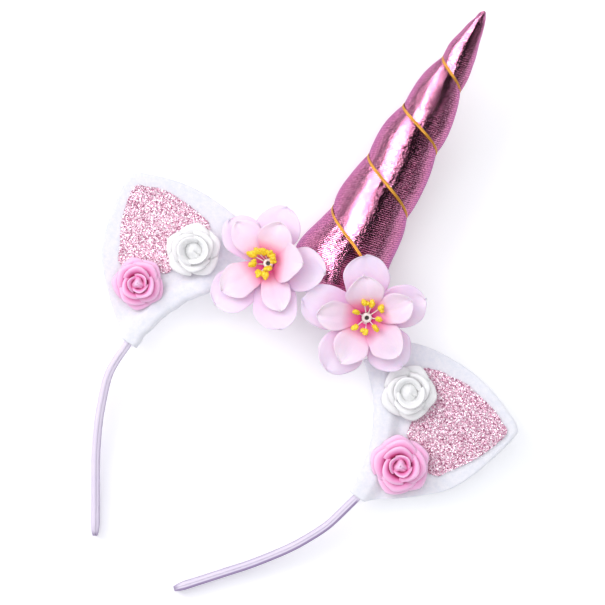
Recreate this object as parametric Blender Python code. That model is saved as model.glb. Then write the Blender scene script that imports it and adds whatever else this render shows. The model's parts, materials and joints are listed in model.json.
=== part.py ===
"""Unicorn horn headband: a ribbon-covered band with felt ears, roses, cloth flowers and a stuffed horn.

Everything is modelled in the plane of the band: the origin is the middle of its
widest line, +X is the wearer's left as seen from the front, +Y runs to the horn's
tip and +Z comes out of the front. A parent empty then lays it on its back, where
it rests on the swell at the horn's foot and on the band's two ends.
"""
import bpy
import bmesh
from bisect import bisect_right
from math import atan, ceil, cos, pi, radians, sin, sqrt, tan
from mathutils import Matrix, Vector
from mathutils.bvhtree import BVHTree

CLEAR = 0.0003                 # gap left between pieces that touch

# Band
BAND_INNER_WIDTH = 0.1252      # clear width inside the arch
BAND_INNER_RISE = 0.0663       # widest line up to the inner face of the crown
LEG_DROP = 0.0833              # widest line down to the ends
LEG_LEAN = 0.0047              # sideways set of the two ends
BAND_THICK = 0.0036
BAND_DEPTH = 0.0070
BAND_CORNER = 0.0008
CROWN_ANGLE = 3.5              # half angle of the flat facet at the crown
# share of the drop, share of the arch's half width, share of the lean
LEG_ROWS = (
    (0.000, 1.000, 0.00),
    (0.180, 0.974, 0.30),
    (0.380, 0.878, 0.39),
    (0.600, 0.716, 0.58),
    (0.810, 0.523, 0.78),
    (1.000, 0.345, 1.00),
)
LEG_STEPS = 10

# Felt ears
EAR_REACH = 0.0611             # band's centre line out to the ear's tip
EAR_THICK = 0.0030             # two layers of felt
SLEEVE_WALL = 0.0015
SLEEVE_SLACK = 0.0012          # how far the fold stands off the band's inner face
SLEEVE_REACH = 0.0088          # band's centre line out to the crease
EAR_LIFT = 0.0016              # how far the tip curls to the front
EAR_WAVE = 0.0007
EAR_WAVES = 9.0                # ripples of the ear in a full circle round the crown
EAR_TOP_ANGLE = 31.4
EAR_TIP_ANGLE = 58.5
EAR_END_ANGLE = 90.0
# angle from the crown in degrees, share of the reach
EAR_ROWS = (
    (31.4, 0.290), (35.0, 0.410), (40.0, 0.550), (45.0, 0.690),
    (50.0, 0.820), (54.0, 0.915), (57.0, 0.985), (58.5, 1.000),
    (60.0, 0.970), (62.0, 0.920), (65.0, 0.840), (70.0, 0.720),
    (75.0, 0.585), (80.0, 0.385), (85.0, 0.200), (88.0, 0.100),
    (90.0, 0.062),
)

# Glitter panels
GLITTER_THICK = 0.0010
# angle from the crown, inner edge and outer edge as shares of the ear's reach
GLITTER_ROWS = (
    (44.5, 0.385, 0.440), (50.0, 0.295, 0.665), (54.0, 0.250, 0.810),
    (57.0, 0.222, 0.880), (58.5, 0.210, 0.915), (60.0, 0.200, 0.890),
    (62.0, 0.190, 0.830), (65.0, 0.235, 0.735), (70.0, 0.350, 0.550),
    (72.5, 0.430, 0.480),
)

# Horn and its cord
HORN_LENGTH = 0.1508
HORN_RADIUS = 0.0227           # greatest swell, near the foot
HORN_PUFF = 0.0023             # how far the stuffing stands out between the turns
HORN_OFFSET = 0.0011           # foot's centre, to the viewer's left
HORN_LEAN = 4.5                # degrees to the viewer's left
HORN_PRESS = 0.0009            # how far the stuffing gives where the horn lies
TILT_MOST = 30                 # the tilt at rest is looked for up to this, in degrees
CORD_DIAMETER = 0.0010
# share of the length from the tip, share of the greatest radius less the puff
HORN_ROWS = (
    (0.000, 0.045), (0.015, 0.085), (0.060, 0.140), (0.220, 0.354),
    (0.416, 0.593), (0.620, 0.721), (0.797, 0.848), (0.909, 1.000),
    (0.955, 0.975), (0.985, 0.880), (1.000, 0.780),
)
# turn of the cord (whole numbers face the front), share of the length
TURN_ROWS = (
    (-1.90, 0.000), (-0.75, 0.102), (-0.25, 0.181), (0.25, 0.259),
    (0.75, 0.373), (1.25, 0.458), (1.75, 0.559), (2.25, 0.679),
    (2.75, 0.752), (3.00, 0.829), (3.25, 0.930), (3.40, 1.000),
)
CORD_TURNS = (-0.65, 3.34)
GROOVE_START = 0.40            # share of a turn in which the groove deepens from nothing
GROOVE_SHAPE = 0.7             # power of the swell between two turns, lower is rounder
PUFF_TIP, PUFF_FOOT = 0.14, 0.03   # shares of the length over which the swell dies away
TIP_ROUND = 0.02               # how far the blunt tip stands out, share of the swell
HORN_STEPS, HORN_SIDES, CORD_STEPS, CORD_SIDES = 42, 24, 18, 5

# Roses
ROSE_RADIUS = 0.0138           # the greatest of the four
ROSE_HEIGHT = 0.0120
ROSE_FOOT = 0.0045             # radius of the flat it is glued by
# name, side, angle from the crown, share of the ear's reach out from the band,
# share of the greatest rose's radius, spin in degrees, pink
ROSE_ROWS = (
    ("rose_white_left", -1, 50.9, 0.268, 0.93, 20, False),
    ("rose_pink_left", -1, 71.7, 0.239, 0.87, 75, True),
    ("rose_white_right", 1, 48.0, 0.204, 0.95, 140, False),
    ("rose_pink_right", 1, 73.1, 0.182, 1.00, 200, True),
)
# share of radius, share of height, petals round this ring, their share of swing
ROSE_RINGS = (
    (0.09, 0.82, 0, 0.00), (0.20, 1.00, 2, 0.10), (0.28, 0.72, 2, 0.10),
    (0.44, 0.92, 3, 0.08), (0.52, 0.60, 3, 0.08), (0.72, 0.80, 4, 0.07),
    (0.79, 0.48, 4, 0.07), (1.00, 0.56, 5, 0.08), (0.93, 0.40, 5, 0.08),
)
ROSE_SIDES = 20
ROSE_TWIST = 9.0               # how far the petals shift round from ring to ring
ROSE_LOBE = 0.05               # rise and fall of a ring's edge, share of the height
BUD_HEIGHT = 0.78              # middle of the bud, share of the height
STALK_HEIGHT = 0.10            # top of the foot, share of the height

# Flowers
FLOWER_RADIUS = 0.0290
PETAL_WIDTH = 0.0205
PETAL_CUP = 0.0026
PETAL_THICK = 0.0010
INNER_RADIUS = 0.0228
INNER_CUP = 0.0056
OUTER_NOTCH, INNER_NOTCH = 0.40, 0.46   # shares of the radius left between two petals
POINT_POWER, POINT_BLUNT = 1.6, 0.8     # shape of the inner petals' points
HEART_SHARE = 0.20             # share of the radius that stays flat
CUP_TURN = 0.62                # share of half a wave that a petal rises through
CUP_SIDE = 0.22                # how much higher a petal's two edges are, share of its cup
HEART_RADIUS = 0.0034          # flat middle that the stamens stand on
CALYX_FOOT = 0.0024
HUB_RADIUS = 0.0025
HUB_HEIGHT = 0.0016
HUB_HOLE = 0.0009
STAMEN_REACH = 0.0100
STAMEN_RISE = 0.0032
FILAMENT = 0.0007
ANTHER = 0.0018
STAMENS = 8
SHORT_STAMEN = 0.86            # reach of every second one
HOLE_FLOOR = 0.4               # bottom of the hub's hole, share of its height
# share of the reach, share of the rise, thickness
STAMEN_ROWS = (
    (0.42, 0.50, FILAMENT), (0.62, 0.78, FILAMENT), (0.69, 0.88, ANTHER),
    (0.95, 1.00, ANTHER), (1.00, 1.00, FILAMENT),
)
# name, side, angle from the crown, share of the ear's reach out from the band,
# height of the heart as a share of the horn's swell, which its petals clear,
# tilt in degrees, bearing of the tilt, spin, inner spin
FLOWER_ROWS = (
    ("left", -1, 26.5, 0.090, 0.771, 13.0, 165.0, 28.0, -4.0),
    ("right", 1, 16.6, 0.112, 0.837, 10.0, -40.0, 53.0, 4.0),
)

# Worked out from the above
ARCH_A = BAND_INNER_WIDTH / 2 + BAND_THICK / 2
ARCH_B = BAND_INNER_RISE + BAND_THICK / 2
SLEEVE_HALF = BAND_DEPTH / 2 + CLEAR + SLEEVE_WALL
CORD_RADIUS = CORD_DIAMETER / 2


def smooth(rows, column, x):
    """Smooth curve through one column of a table, by its first column."""
    xs = [row[0] for row in rows]
    ys = [row[column] for row in rows]
    if x <= xs[0]:
        return ys[0]
    if x >= xs[-1]:
        return ys[-1]
    i = bisect_right(xs, x) - 1

    def slope(k):
        if k in (0, len(xs) - 1):
            j = min(k, len(xs) - 2)
            return (ys[j + 1] - ys[j]) / (xs[j + 1] - xs[j])
        a = (ys[k] - ys[k - 1]) / (xs[k] - xs[k - 1])
        b = (ys[k + 1] - ys[k]) / (xs[k + 1] - xs[k])
        return 0.0 if a * b <= 0 else 2 * a * b / (a + b)

    step = xs[i + 1] - xs[i]
    t = (x - xs[i]) / step
    return ((1 + 2 * t) * (1 - t) ** 2 * ys[i] + t * (1 - t) ** 2 * step * slope(i)
            + t * t * (3 - 2 * t) * ys[i + 1] + t * t * (t - 1) * step * slope(i + 1))


def straight(rows, a, b, x):
    """Straight-line reading of column b at x in column a."""
    xs = [row[a] for row in rows]
    i = min(max(bisect_right(xs, x) - 1, 0), len(xs) - 2)
    t = (x - xs[i]) / (xs[i + 1] - xs[i])
    return rows[i][b] + t * (rows[i + 1][b] - rows[i][b])


# The band's centre line
def arch_station(angle, side):
    """Point and outward normal of the arch, angle in degrees from the crown."""
    t = radians(angle)
    normal = Vector((sin(t) / ARCH_A, cos(t) / ARCH_B)).normalized()
    return (Vector((side * ARCH_A * sin(t), ARCH_B * cos(t))),
            Vector((side * normal.x, normal.y)))


def beside_band(side, angle, out):
    """Point standing off the arch by a share of the ear's reach."""
    point, normal = arch_station(angle, side)
    return point + normal * EAR_REACH * out


def leg_point(share, side):
    half = ARCH_A * smooth(LEG_ROWS, 1, share)
    return Vector((side * half - LEG_LEAN * smooth(LEG_ROWS, 2, share), -LEG_DROP * share))


def leg_station(share, side):
    ahead, behind = min(share + 0.01, 1.0), max(share - 0.01, 0.0)
    along = (leg_point(ahead, side) - leg_point(behind, side)).normalized()
    return leg_point(share, side), Vector((-side * along.y, side * along.x))


def steps(start, stop, count):
    return [start + (stop - start) * i / count for i in range(count + 1)]


def ear_angles():
    return (steps(EAR_TOP_ANGLE, EAR_TIP_ANGLE, 9)
            + steps(EAR_TIP_ANGLE, EAR_END_ANGLE, 12)[1:])


def band_stations():
    """Every station from the left end, over the crown, to the right end."""
    angles = steps(CROWN_ANGLE, EAR_TOP_ANGLE, 5)[:-1] + ear_angles()
    shares = steps(0.0, 1.0, LEG_STEPS)[1:]
    left = [leg_station(s, -1) for s in reversed(shares)]
    left += [arch_station(a, -1) for a in reversed(angles)]
    right = [arch_station(a, 1) for a in angles]
    return left + right + [leg_station(s, 1) for s in shares]


# Mesh helpers
def ring(bm, points):
    return [bm.verts.new(p) for p in points]


def join(bm, first, second, closed=True):
    n = len(first)
    for i in range(n if closed else n - 1):
        j = (i + 1) % n
        bm.faces.new((first[i], first[j], second[j], second[i]))


def fan(bm, loop, point):
    tip = bm.verts.new(point)
    for i in range(len(loop)):
        bm.faces.new((loop[i], loop[(i + 1) % len(loop)], tip))


def material(name, colour, roughness, metallic=0.0):
    mat = bpy.data.materials.new(name)
    mat.use_nodes = True
    shader = mat.node_tree.nodes["Principled BSDF"]
    shader.inputs["Base Color"].default_value = (*colour, 1.0)
    shader.inputs["Roughness"].default_value = roughness
    shader.inputs["Metallic"].default_value = metallic
    return mat


def add(name, bm, mat, parent, matrix=None):
    """Close the mesh into an object of its own, under the plane of the band."""
    bmesh.ops.recalc_face_normals(bm, faces=bm.faces)
    mesh = bpy.data.meshes.new(name)
    bm.to_mesh(mesh)
    bm.free()
    mesh.materials.append(mat)
    mesh.shade_smooth()
    mesh.set_sharp_from_angle(angle=radians(40))
    obj = bpy.data.objects.new(name, mesh)
    bpy.context.collection.objects.link(obj)
    obj.parent = parent
    if matrix:
        obj.matrix_basis = matrix
    return obj


def tree_of(obj):
    """Search tree of an object's faces, in the plane of the band."""
    bm = bmesh.new()
    bm.from_mesh(obj.data)
    bm.transform(obj.matrix_basis)
    tree = BVHTree.FromBMesh(bm)
    bm.free()
    return tree


def drop_to(points, trees):
    """Least height above the trees, of points looked at from straight above."""
    down = Vector((0, 0, -1))
    high = FLOWER_RADIUS * 4
    drops = []
    for p in points:
        for tree in trees:
            hit = tree.ray_cast(Vector((p.x, p.y, high)), down)[0]
            if hit:
                drops.append(p.z - hit.z)
    return min(drops)


# Band
def chamfered(half_n, half_z, corner):
    """Section round the band: across (n) and deep (z), corners cut off."""
    return [(half_n - corner, half_z), (half_n, half_z - corner),
            (half_n, corner - half_z), (half_n - corner, -half_z),
            (corner - half_n, -half_z), (-half_n, corner - half_z),
            (-half_n, half_z - corner), (corner - half_n, half_z)]


def at_station(station, section):
    point, normal = station
    return [Vector((point.x + normal.x * n, point.y + normal.y * n, z)) for n, z in section]


def make_band(mat, parent):
    bm = bmesh.new()
    section = chamfered(BAND_THICK / 2, BAND_DEPTH / 2, BAND_CORNER)
    rings = [ring(bm, at_station(s, section)) for s in band_stations()]
    for a, b in zip(rings, rings[1:]):
        join(bm, a, b)
    bm.faces.new(rings[0])
    bm.faces.new(rings[-1])
    return add("band", bm, mat, parent)


# Felt ears
def ear_width(angle):
    least = BAND_THICK / 2 + CLEAR + SLEEVE_WALL
    return max(EAR_REACH * smooth(EAR_ROWS, 1, angle), least)


def ear_warp(angle, out):
    """Height of the ear's middle layer above the band's plane."""
    share = max(out - SLEEVE_REACH, 0.0) / (EAR_REACH - SLEEVE_REACH)
    return EAR_LIFT * share ** 2 + EAR_WAVE * share * sin(radians(angle * EAR_WAVES))


def felt_half(out):
    """Half depth of the felt: full round the band, two layers from the crease on."""
    start = BAND_THICK / 2 + CLEAR
    t = min(max((out - start) / (SLEEVE_REACH - start), 0.0), 1.0)
    t = t * t * (3 - 2 * t)
    return SLEEVE_HALF + (EAR_THICK / 2 - SLEEVE_HALF) * t


def ear_section(angle):
    width = ear_width(angle)
    start = BAND_THICK / 2 + CLEAR
    inner = -(start + SLEEVE_WALL + SLEEVE_SLACK)
    crease = min(SLEEVE_REACH, start + 0.75 * (width - start))
    half = [(inner, SLEEVE_HALF * 0.50), (inner + SLEEVE_WALL * 0.35, SLEEVE_HALF * 0.84),
            (inner + SLEEVE_WALL * 1.60, SLEEVE_HALF), (start, SLEEVE_HALF)]
    half += [(n, felt_half(n)) for n in steps(start, crease, 3)[1:]]
    half += [(n, felt_half(n)) for n in steps(crease, width, 5)[1:-1]]
    half += [(width, felt_half(width) * 0.75)]
    front = [(n, ear_warp(angle, n) + z) for n, z in half]
    back = [(n, ear_warp(angle, n) - z) for n, z in reversed(half)]
    return front + back


def make_ear(name, side, mat, parent):
    bm = bmesh.new()
    channel = chamfered(BAND_THICK / 2 + CLEAR, BAND_DEPTH / 2 + CLEAR, BAND_CORNER)
    skins, holes = [], []
    for angle in ear_angles():
        station = arch_station(angle, side)
        skins.append(ring(bm, at_station(station, ear_section(angle))))
        holes.append(ring(bm, at_station(station, channel)))
    for loops in (skins, holes):
        for a, b in zip(loops, loops[1:]):
            join(bm, a, b)
    for k in (0, -1):
        edges = []
        for loop in (skins[k], holes[k]):
            edges += [bm.edges.get((loop[i - 1], loop[i])) for i in range(len(loop))]
        bmesh.ops.triangle_fill(bm, use_beauty=True, edges=edges)
    return add(name, bm, mat, parent)


def make_glitter(name, side, mat, parent):
    """Leaf of glitter cloth lying on the front of the ear, following its curl."""
    bm = bmesh.new()
    first, last = GLITTER_ROWS[0][0], GLITTER_ROWS[-1][0]
    angles = [first] + [a for a in ear_angles() if first + 0.8 < a < last - 0.8] + [last]
    loops = []
    for angle in angles:
        inner = EAR_REACH * smooth(GLITTER_ROWS, 1, angle)
        outer = EAR_REACH * smooth(GLITTER_ROWS, 2, angle)
        low, high = [], []
        for out in steps(inner, outer, 4):
            z = ear_warp(angle, out) + felt_half(out) + CLEAR
            low.append((out, z))
            high.append((out, z + GLITTER_THICK))
        loops.append(ring(bm, at_station(arch_station(angle, side), high + low[::-1])))
    for a, b in zip(loops, loops[1:]):
        join(bm, a, b)
    bm.faces.new(loops[0])
    bm.faces.new(loops[-1])
    return add(name, bm, mat, parent)


# Horn and cord
def horn_radius(share, turn):
    """Radius at a share of the length, turn counted from the front towards +X."""
    waist = (HORN_RADIUS - HORN_PUFF) * smooth(HORN_ROWS, 1, share)
    here = straight(TURN_ROWS, 1, 0, share)
    phase = (here - turn) % 1.0
    nearest = here - phase + (phase > 0.5)
    depth = min(max((nearest - CORD_TURNS[0]) / GROOVE_START, 0.0), 1.0)
    fade = min(share / PUFF_TIP, 1.0) * min((1.0 - share) / PUFF_FOOT, 1.0)
    return waist + HORN_PUFF * fade * (1 - depth * (1 - sin(pi * phase) ** GROOVE_SHAPE))


def horn_point(share, turn, radius):
    a = 2 * pi * turn
    return Vector((radius * sin(a), HORN_LENGTH * (1 - share), radius * cos(a)))


def horn_matrix():
    """The foot's rim just clears the band, whose outer face is an ellipse."""
    a, b = ARCH_A + BAND_THICK / 2, ARCH_B + BAND_THICK / 2
    slope = tan(radians(HORN_LEAN))
    height = sqrt(b * b + (slope * a) ** 2) - slope * HORN_OFFSET + CLEAR / cos(atan(slope))
    return Matrix.Translation((-HORN_OFFSET, height, 0)) @ Matrix.Rotation(radians(HORN_LEAN), 4, "Z")


def make_horn(mat, parent):
    bm = bmesh.new()
    loops = []
    for share in steps(0.0, 1.0, HORN_STEPS):
        points = []
        for i in range(HORN_SIDES):
            turn = i / HORN_SIDES
            points.append(horn_point(share, turn, horn_radius(share, turn)))
        loops.append(ring(bm, points))
    for a, b in zip(loops, loops[1:]):
        join(bm, a, b)
    fan(bm, loops[0], horn_point(0.0, 0.0, 0.0) + Vector((0, HORN_RADIUS * TIP_ROUND, 0)))
    fan(bm, loops[-1], horn_point(1.0, 0.0, 0.0))
    return add("horn", bm, mat, parent, horn_matrix())


def make_cord(mat, parent):
    """Wrapped thread lying in the groove, clear of the nearest facets of the horn."""
    bm = bmesh.new()
    first, last = CORD_TURNS
    near = 0.5 / HORN_STEPS
    centres = []
    for turn in steps(first, last, ceil((last - first) * CORD_STEPS)):
        share = straight(TURN_ROWS, 0, 1, turn)
        radius = max(horn_radius(share + k * near, turn) for k in (-1, 0, 1))
        centres.append((horn_point(share, turn, radius + CLEAR + CORD_RADIUS), turn))
    loops = []
    for i, (centre, turn) in enumerate(centres):
        along = (centres[min(i + 1, len(centres) - 1)][0] - centres[max(i - 1, 0)][0]).normalized()
        out = Vector((sin(2 * pi * turn), 0, cos(2 * pi * turn)))
        out = (out - along * out.dot(along)).normalized()
        across = along.cross(out)
        loops.append(ring(bm, [centre + CORD_RADIUS * (out * cos(a) + across * sin(a))
                               for a in (2 * pi * k / CORD_SIDES for k in range(CORD_SIDES))]))
    for a, b in zip(loops, loops[1:]):
        join(bm, a, b)
    bm.faces.new(loops[0])
    bm.faces.new(loops[-1])
    return add("horn_cord", bm, mat, parent, horn_matrix())


# Roses
def make_rose(row, mats, parent, trees):
    name, side, angle, out, size, spin, pink = row
    x, y = beside_band(side, angle, out)
    radius = ROSE_RADIUS * size
    bm = bmesh.new()
    loops = []
    for ring_share, height, petals, swing in ROSE_RINGS:
        points = []
        for i in range(ROSE_SIDES):
            a = 2 * pi * i / ROSE_SIDES
            lobe = cos(petals * a + ring_share * ROSE_TWIST) if petals else 0.0
            r = radius * ring_share * (1 + swing * (lobe - 1))
            h = ROSE_HEIGHT * (height + ROSE_LOBE * lobe)
            points.append(Vector((r * cos(a), r * sin(a), h)))
        loops.append(ring(bm, points))
    for r, h in ((ROSE_FOOT, ROSE_HEIGHT * STALK_HEIGHT), (ROSE_FOOT, 0.0)):
        loops.append(ring(bm, [Vector((r * cos(a), r * sin(a), h)) for a in
                               (2 * pi * i / ROSE_SIDES for i in range(ROSE_SIDES))]))
    for a, b in zip(loops, loops[1:]):
        join(bm, a, b)
    fan(bm, loops[0], Vector((0, 0, ROSE_HEIGHT * BUD_HEIGHT)))
    fan(bm, loops[-1], Vector((0, 0, 0)))
    turn = Matrix.Rotation(radians(spin), 4, "Z")
    place = Matrix.Translation((x, y, 0)) @ turn
    under = [place @ v.co for v in loops[-1] + loops[-2] + loops[-3] + loops[-4]]
    seat = CLEAR - drop_to(under + [Vector((x, y, 0))], trees)
    return add(name, bm, mats[pink], parent, Matrix.Translation((0, 0, seat)) @ place)


# Flowers
def petal_angles(dense):
    """Angles round the flower, closer together at the notches between petals."""
    offsets = (-36, -32, -24, -10, 10, 24, 32) if dense else (-36, -30, -14, 0, 14, 30)
    return [72 * k + a for k in range(5) for a in offsets]


def petal_edge(angle):
    """Radius of a round petal's edge, at an angle from its middle line."""
    a = radians((angle + 36) % 72 - 36)
    centre = FLOWER_RADIUS - PETAL_WIDTH / 2
    inside = (PETAL_WIDTH / 2) ** 2 - (centre * sin(a)) ** 2
    if abs(abs(a) - radians(36)) < 1e-6 or inside <= 0:
        return FLOWER_RADIUS * OUTER_NOTCH
    return centre * cos(a) + sqrt(inside)


def pointed_edge(angle):
    """Radius of a fuller petal that comes to a blunt point."""
    a = abs((angle + 36) % 72 - 36) / 36
    rise = max(1 - a ** POINT_POWER, 0.0) ** POINT_BLUNT
    return INNER_RADIUS * (INNER_NOTCH + (1 - INNER_NOTCH) * rise)


def cup_height(r, reach, cup, angle):
    """Front of a layer: flat heart, rising petals, each one hollowed along its middle."""
    share = max(r / reach - HEART_SHARE, 0.0) / (1 - HEART_SHARE)
    side = (((angle + 36) % 72 - 36) / 36) ** 2
    return cup * (sin(min(share, 1.0) * pi * CUP_TURN) + CUP_SIDE * side * share)


def make_layer(name, spin, sizes, base, stem, mat, parent, matrix):
    """One layer of five petals joined at the heart, with or without its calyx."""
    reach, cup, edge, dense, rings = sizes
    bm = bmesh.new()
    angles = petal_angles(dense)
    fronts, backs = [], []
    for k in range(rings + 1):
        front, back = [], []
        for angle in angles:
            r = HEART_RADIUS + (edge(angle) - HEART_RADIUS) * (k / rings)
            a = radians(angle + spin)
            z = base + (cup_height(r, reach, cup, angle) if k else 0.0)
            front.append(Vector((r * cos(a), r * sin(a), z)))
            back.append(Vector((r * cos(a), r * sin(a), z - PETAL_THICK)))
        fronts.append(ring(bm, front))
        backs.append(ring(bm, back))
    for loops in (fronts, backs):
        for a, b in zip(loops, loops[1:]):
            join(bm, a, b)
    join(bm, fronts[-1], backs[-1])
    fan(bm, fronts[0], Vector((0, 0, base)))
    if stem is None:
        fan(bm, backs[0], Vector((0, 0, base - PETAL_THICK)))
    else:
        foot = ring(bm, [stem + Vector((CALYX_FOOT * cos(radians(a + spin)),
                                        CALYX_FOOT * sin(radians(a + spin)), 0)) for a in angles])
        inverse = matrix.inverted()
        for v in foot:
            v.co = inverse @ v.co
        join(bm, backs[0], foot)
        fan(bm, foot, inverse @ stem)
    return add(name, bm, mat, parent, matrix)


def make_stamens(name, base, mat, parent, matrix):
    """Pale hub with a hole, and thin filaments ending in fat anthers."""
    bm = bmesh.new()
    sides = STAMENS * 2
    half = pi / sides

    def circle(r, z):
        return ring(bm, [Vector((r * cos(2 * half * i + half), r * sin(2 * half * i + half), z))
                         for i in range(sides)])

    low, high = circle(HUB_RADIUS, base), circle(HUB_RADIUS, base + HUB_HEIGHT)
    mouth, floor = circle(HUB_HOLE, base + HUB_HEIGHT), circle(HUB_HOLE, base + HUB_HEIGHT * HOLE_FLOOR)
    join(bm, high, mouth)
    join(bm, mouth, floor)
    bm.faces.new(floor)
    bm.faces.new(low)
    for i in range(sides):
        j = (i + 1) % sides
        quad = (low[i], low[j], high[j], high[i])
        if i % 2:
            bm.faces.new(quad)
            continue
        a = 2 * half * (i + 1)
        out, across = Vector((cos(a), sin(a), 0)), Vector((-sin(a), cos(a), 0))
        reach = STAMEN_REACH * (1.0 if i % 4 else SHORT_STAMEN)
        last = list(quad)
        for share, rise, size in STAMEN_ROWS:
            height = base + HUB_HEIGHT / 2 + STAMEN_RISE * rise
            middle = out * reach * share + Vector((0, 0, height))
            s = size / 2
            arm = ring(bm, [middle - across * s + Vector((0, 0, -s)),
                            middle + across * s + Vector((0, 0, -s)),
                            middle + across * s + Vector((0, 0, s)),
                            middle - across * s + Vector((0, 0, s))])
            join(bm, last, arm)
            last = arm
        bm.faces.new(last)
    return add(name, bm, mat, parent, matrix)


def make_flower(row, mats, parent, trees):
    name, side, angle, out, height, tilt, bearing, spin, inner_spin = row
    x, y = beside_band(side, angle, out)
    b = radians(bearing)
    axis = Vector((-sin(b), cos(b), 0))
    matrix = Matrix.Translation((x, y, HORN_RADIUS * height)) @ Matrix.Rotation(radians(tilt), 4, axis)
    # the calyx stands on the band, straight below the heart
    along = min(max(x / ARCH_A, -1.0), 1.0)
    foot = Vector((x, ARCH_B * sqrt(1 - along * along), 0))
    rim = [foot + Vector((CALYX_FOOT * cos(a), CALYX_FOOT * sin(a), 0))
           for a in (pi * k / 6 for k in range(12))]
    foot.z = CLEAR - drop_to(rim + [foot], trees)
    outer = (FLOWER_RADIUS, PETAL_CUP, petal_edge, True, 4)
    inner = (INNER_RADIUS, INNER_CUP, pointed_edge, False, 3)
    inner_base = PETAL_THICK + CLEAR * 2
    stamen_base = inner_base + CLEAR * 2
    name = "flower_" + name
    return [make_layer(name + "_outer_petals", spin, outer, 0.0, foot, mats[0], parent, matrix),
            make_layer(name + "_inner_petals", spin + inner_spin, inner, inner_base, None,
                       mats[1], parent, matrix),
            make_stamens(name + "_stamens", stamen_base, mats[2], parent, matrix)]


# The whole
def rest_tilt(horn, band):
    """Tilt at which the horn's pressed swell and the band's ends lie on one level."""
    def low(obj, t):
        return min(p.z * cos(t) + p.y * sin(t)
                   for p in (obj.matrix_basis @ v.co for v in obj.data.vertices))

    under, over = 0.0, radians(TILT_MOST)
    for _ in range(60):
        middle = (under + over) / 2
        if low(horn, middle) + HORN_PRESS < low(band, middle):
            under = middle
        else:
            over = middle
    return under


def press_flat(horn, turn, floor):
    """Flatten the patch of the stuffed swell that the horn lies on."""
    place = turn @ horn.matrix_basis
    back = place.inverted()
    for v in horn.data.vertices:
        p = place @ v.co
        if p.z < floor:
            v.co = back @ Vector((p.x, p.y, floor))


def lay_down(plane, pieces):
    """Turn the plane to its rest and bring the box's bottom centre to the origin."""
    horn = next(p for p in pieces if p.name == "horn")
    band = next(p for p in pieces if p.name == "band")
    turn = Matrix.Rotation(rest_tilt(horn, band), 4, "X")
    floor = min((turn @ band.matrix_basis @ v.co).z for v in band.data.vertices)
    press_flat(horn, turn, floor)
    points = [turn @ p.matrix_basis @ v.co for p in pieces for v in p.data.vertices]
    low = [min(p[i] for p in points) for i in range(3)]
    high = [max(p[i] for p in points) for i in range(3)]
    plane.rotation_euler = turn.to_euler()
    plane.location = (-(low[0] + high[0]) / 2, -(low[1] + high[1]) / 2, -low[2])


def main():
    for obj in list(bpy.data.objects):
        bpy.data.objects.remove(obj, do_unlink=True)
    satin = material("satin_ribbon", (0.79, 0.77, 0.88), 0.45)
    felt = material("white_felt", (0.83, 0.87, 0.94), 0.95)
    glitter = material("pink_glitter", (0.80, 0.45, 0.58), 0.55)
    lame = material("rose_lame", (0.55, 0.16, 0.32), 0.28, 1.0)
    gold = material("gold_thread", (0.75, 0.35, 0.02), 0.35, 1.0)
    foam = (material("white_foam", (0.91, 0.91, 0.89), 0.70),
            material("pink_foam", (0.87, 0.27, 0.52), 0.70))
    petals = (material("pale_petal", (0.91, 0.69, 0.86), 0.80),
              material("pink_petal", (0.89, 0.50, 0.72), 0.80),
              material("yellow_anther", (1.00, 0.75, 0.02), 0.60))

    plane = bpy.data.objects.new("band_plane", None)
    bpy.context.collection.objects.link(plane)
    pieces = [make_band(satin, plane)]
    for name, side in (("left", -1), ("right", 1)):
        pieces.append(make_ear("ear_" + name, side, felt, plane))
        pieces.append(make_glitter("glitter_" + name, side, glitter, plane))
    base = list(pieces)
    trees = [tree_of(p) for p in base]
    pieces += [make_horn(lame, plane), make_cord(gold, plane)]
    for row in ROSE_ROWS:
        pieces.append(make_rose(row, foam, plane, trees))
    for row in FLOWER_ROWS:
        pieces += make_flower(row, petals, plane, trees)
    lay_down(plane, pieces)


main()
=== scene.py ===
"""Dressing for the unicorn horn headband: band, ears, glitter, roses, flowers, horn and cord."""

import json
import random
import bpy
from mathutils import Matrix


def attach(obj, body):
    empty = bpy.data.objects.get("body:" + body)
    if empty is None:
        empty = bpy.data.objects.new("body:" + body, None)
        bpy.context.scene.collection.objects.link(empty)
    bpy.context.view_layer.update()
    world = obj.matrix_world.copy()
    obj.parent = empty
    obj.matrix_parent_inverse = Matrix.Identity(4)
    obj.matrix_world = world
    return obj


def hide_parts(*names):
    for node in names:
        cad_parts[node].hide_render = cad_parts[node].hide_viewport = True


bl_info = {
    "name": "Unicorn Horn Headband",
    "version": (1, 0, 0),
    "blender": (4, 5, 0),
    "location": "View3D > Sidebar > Headband",
    "description": "Dresses the headband's frame in satin, felt, glitter, foam, petals and metallic knit",
    "category": "Object",
}

from bisect import bisect_right
from math import atan2, cos, pi, radians, sin, sqrt, tan

import bmesh
import bpy
import numpy as np
from bpy.props import FloatProperty, FloatVectorProperty, PointerProperty
from mathutils import Matrix, Vector, noise

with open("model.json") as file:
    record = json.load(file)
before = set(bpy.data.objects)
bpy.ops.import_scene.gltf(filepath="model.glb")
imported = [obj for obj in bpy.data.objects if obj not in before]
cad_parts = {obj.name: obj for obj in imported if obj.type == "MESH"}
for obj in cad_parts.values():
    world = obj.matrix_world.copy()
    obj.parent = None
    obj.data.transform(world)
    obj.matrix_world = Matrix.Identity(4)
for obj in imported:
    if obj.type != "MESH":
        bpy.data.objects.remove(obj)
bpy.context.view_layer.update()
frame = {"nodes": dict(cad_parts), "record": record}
MM = 0.001

# Band's plane, from the facet inside its crown
ARCH_A, ARCH_B = 64.4 * MM, 68.1 * MM      # half width and rise of the centre line
BAND_THICK, BAND_DEPTH = 3.6 * MM, 7.0 * MM
LEG_DROP, LEG_LEAN = 83.3 * MM, 4.7 * MM
CROWN_ANGLE = 3.5
CLEAR = 0.3 * MM
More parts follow.
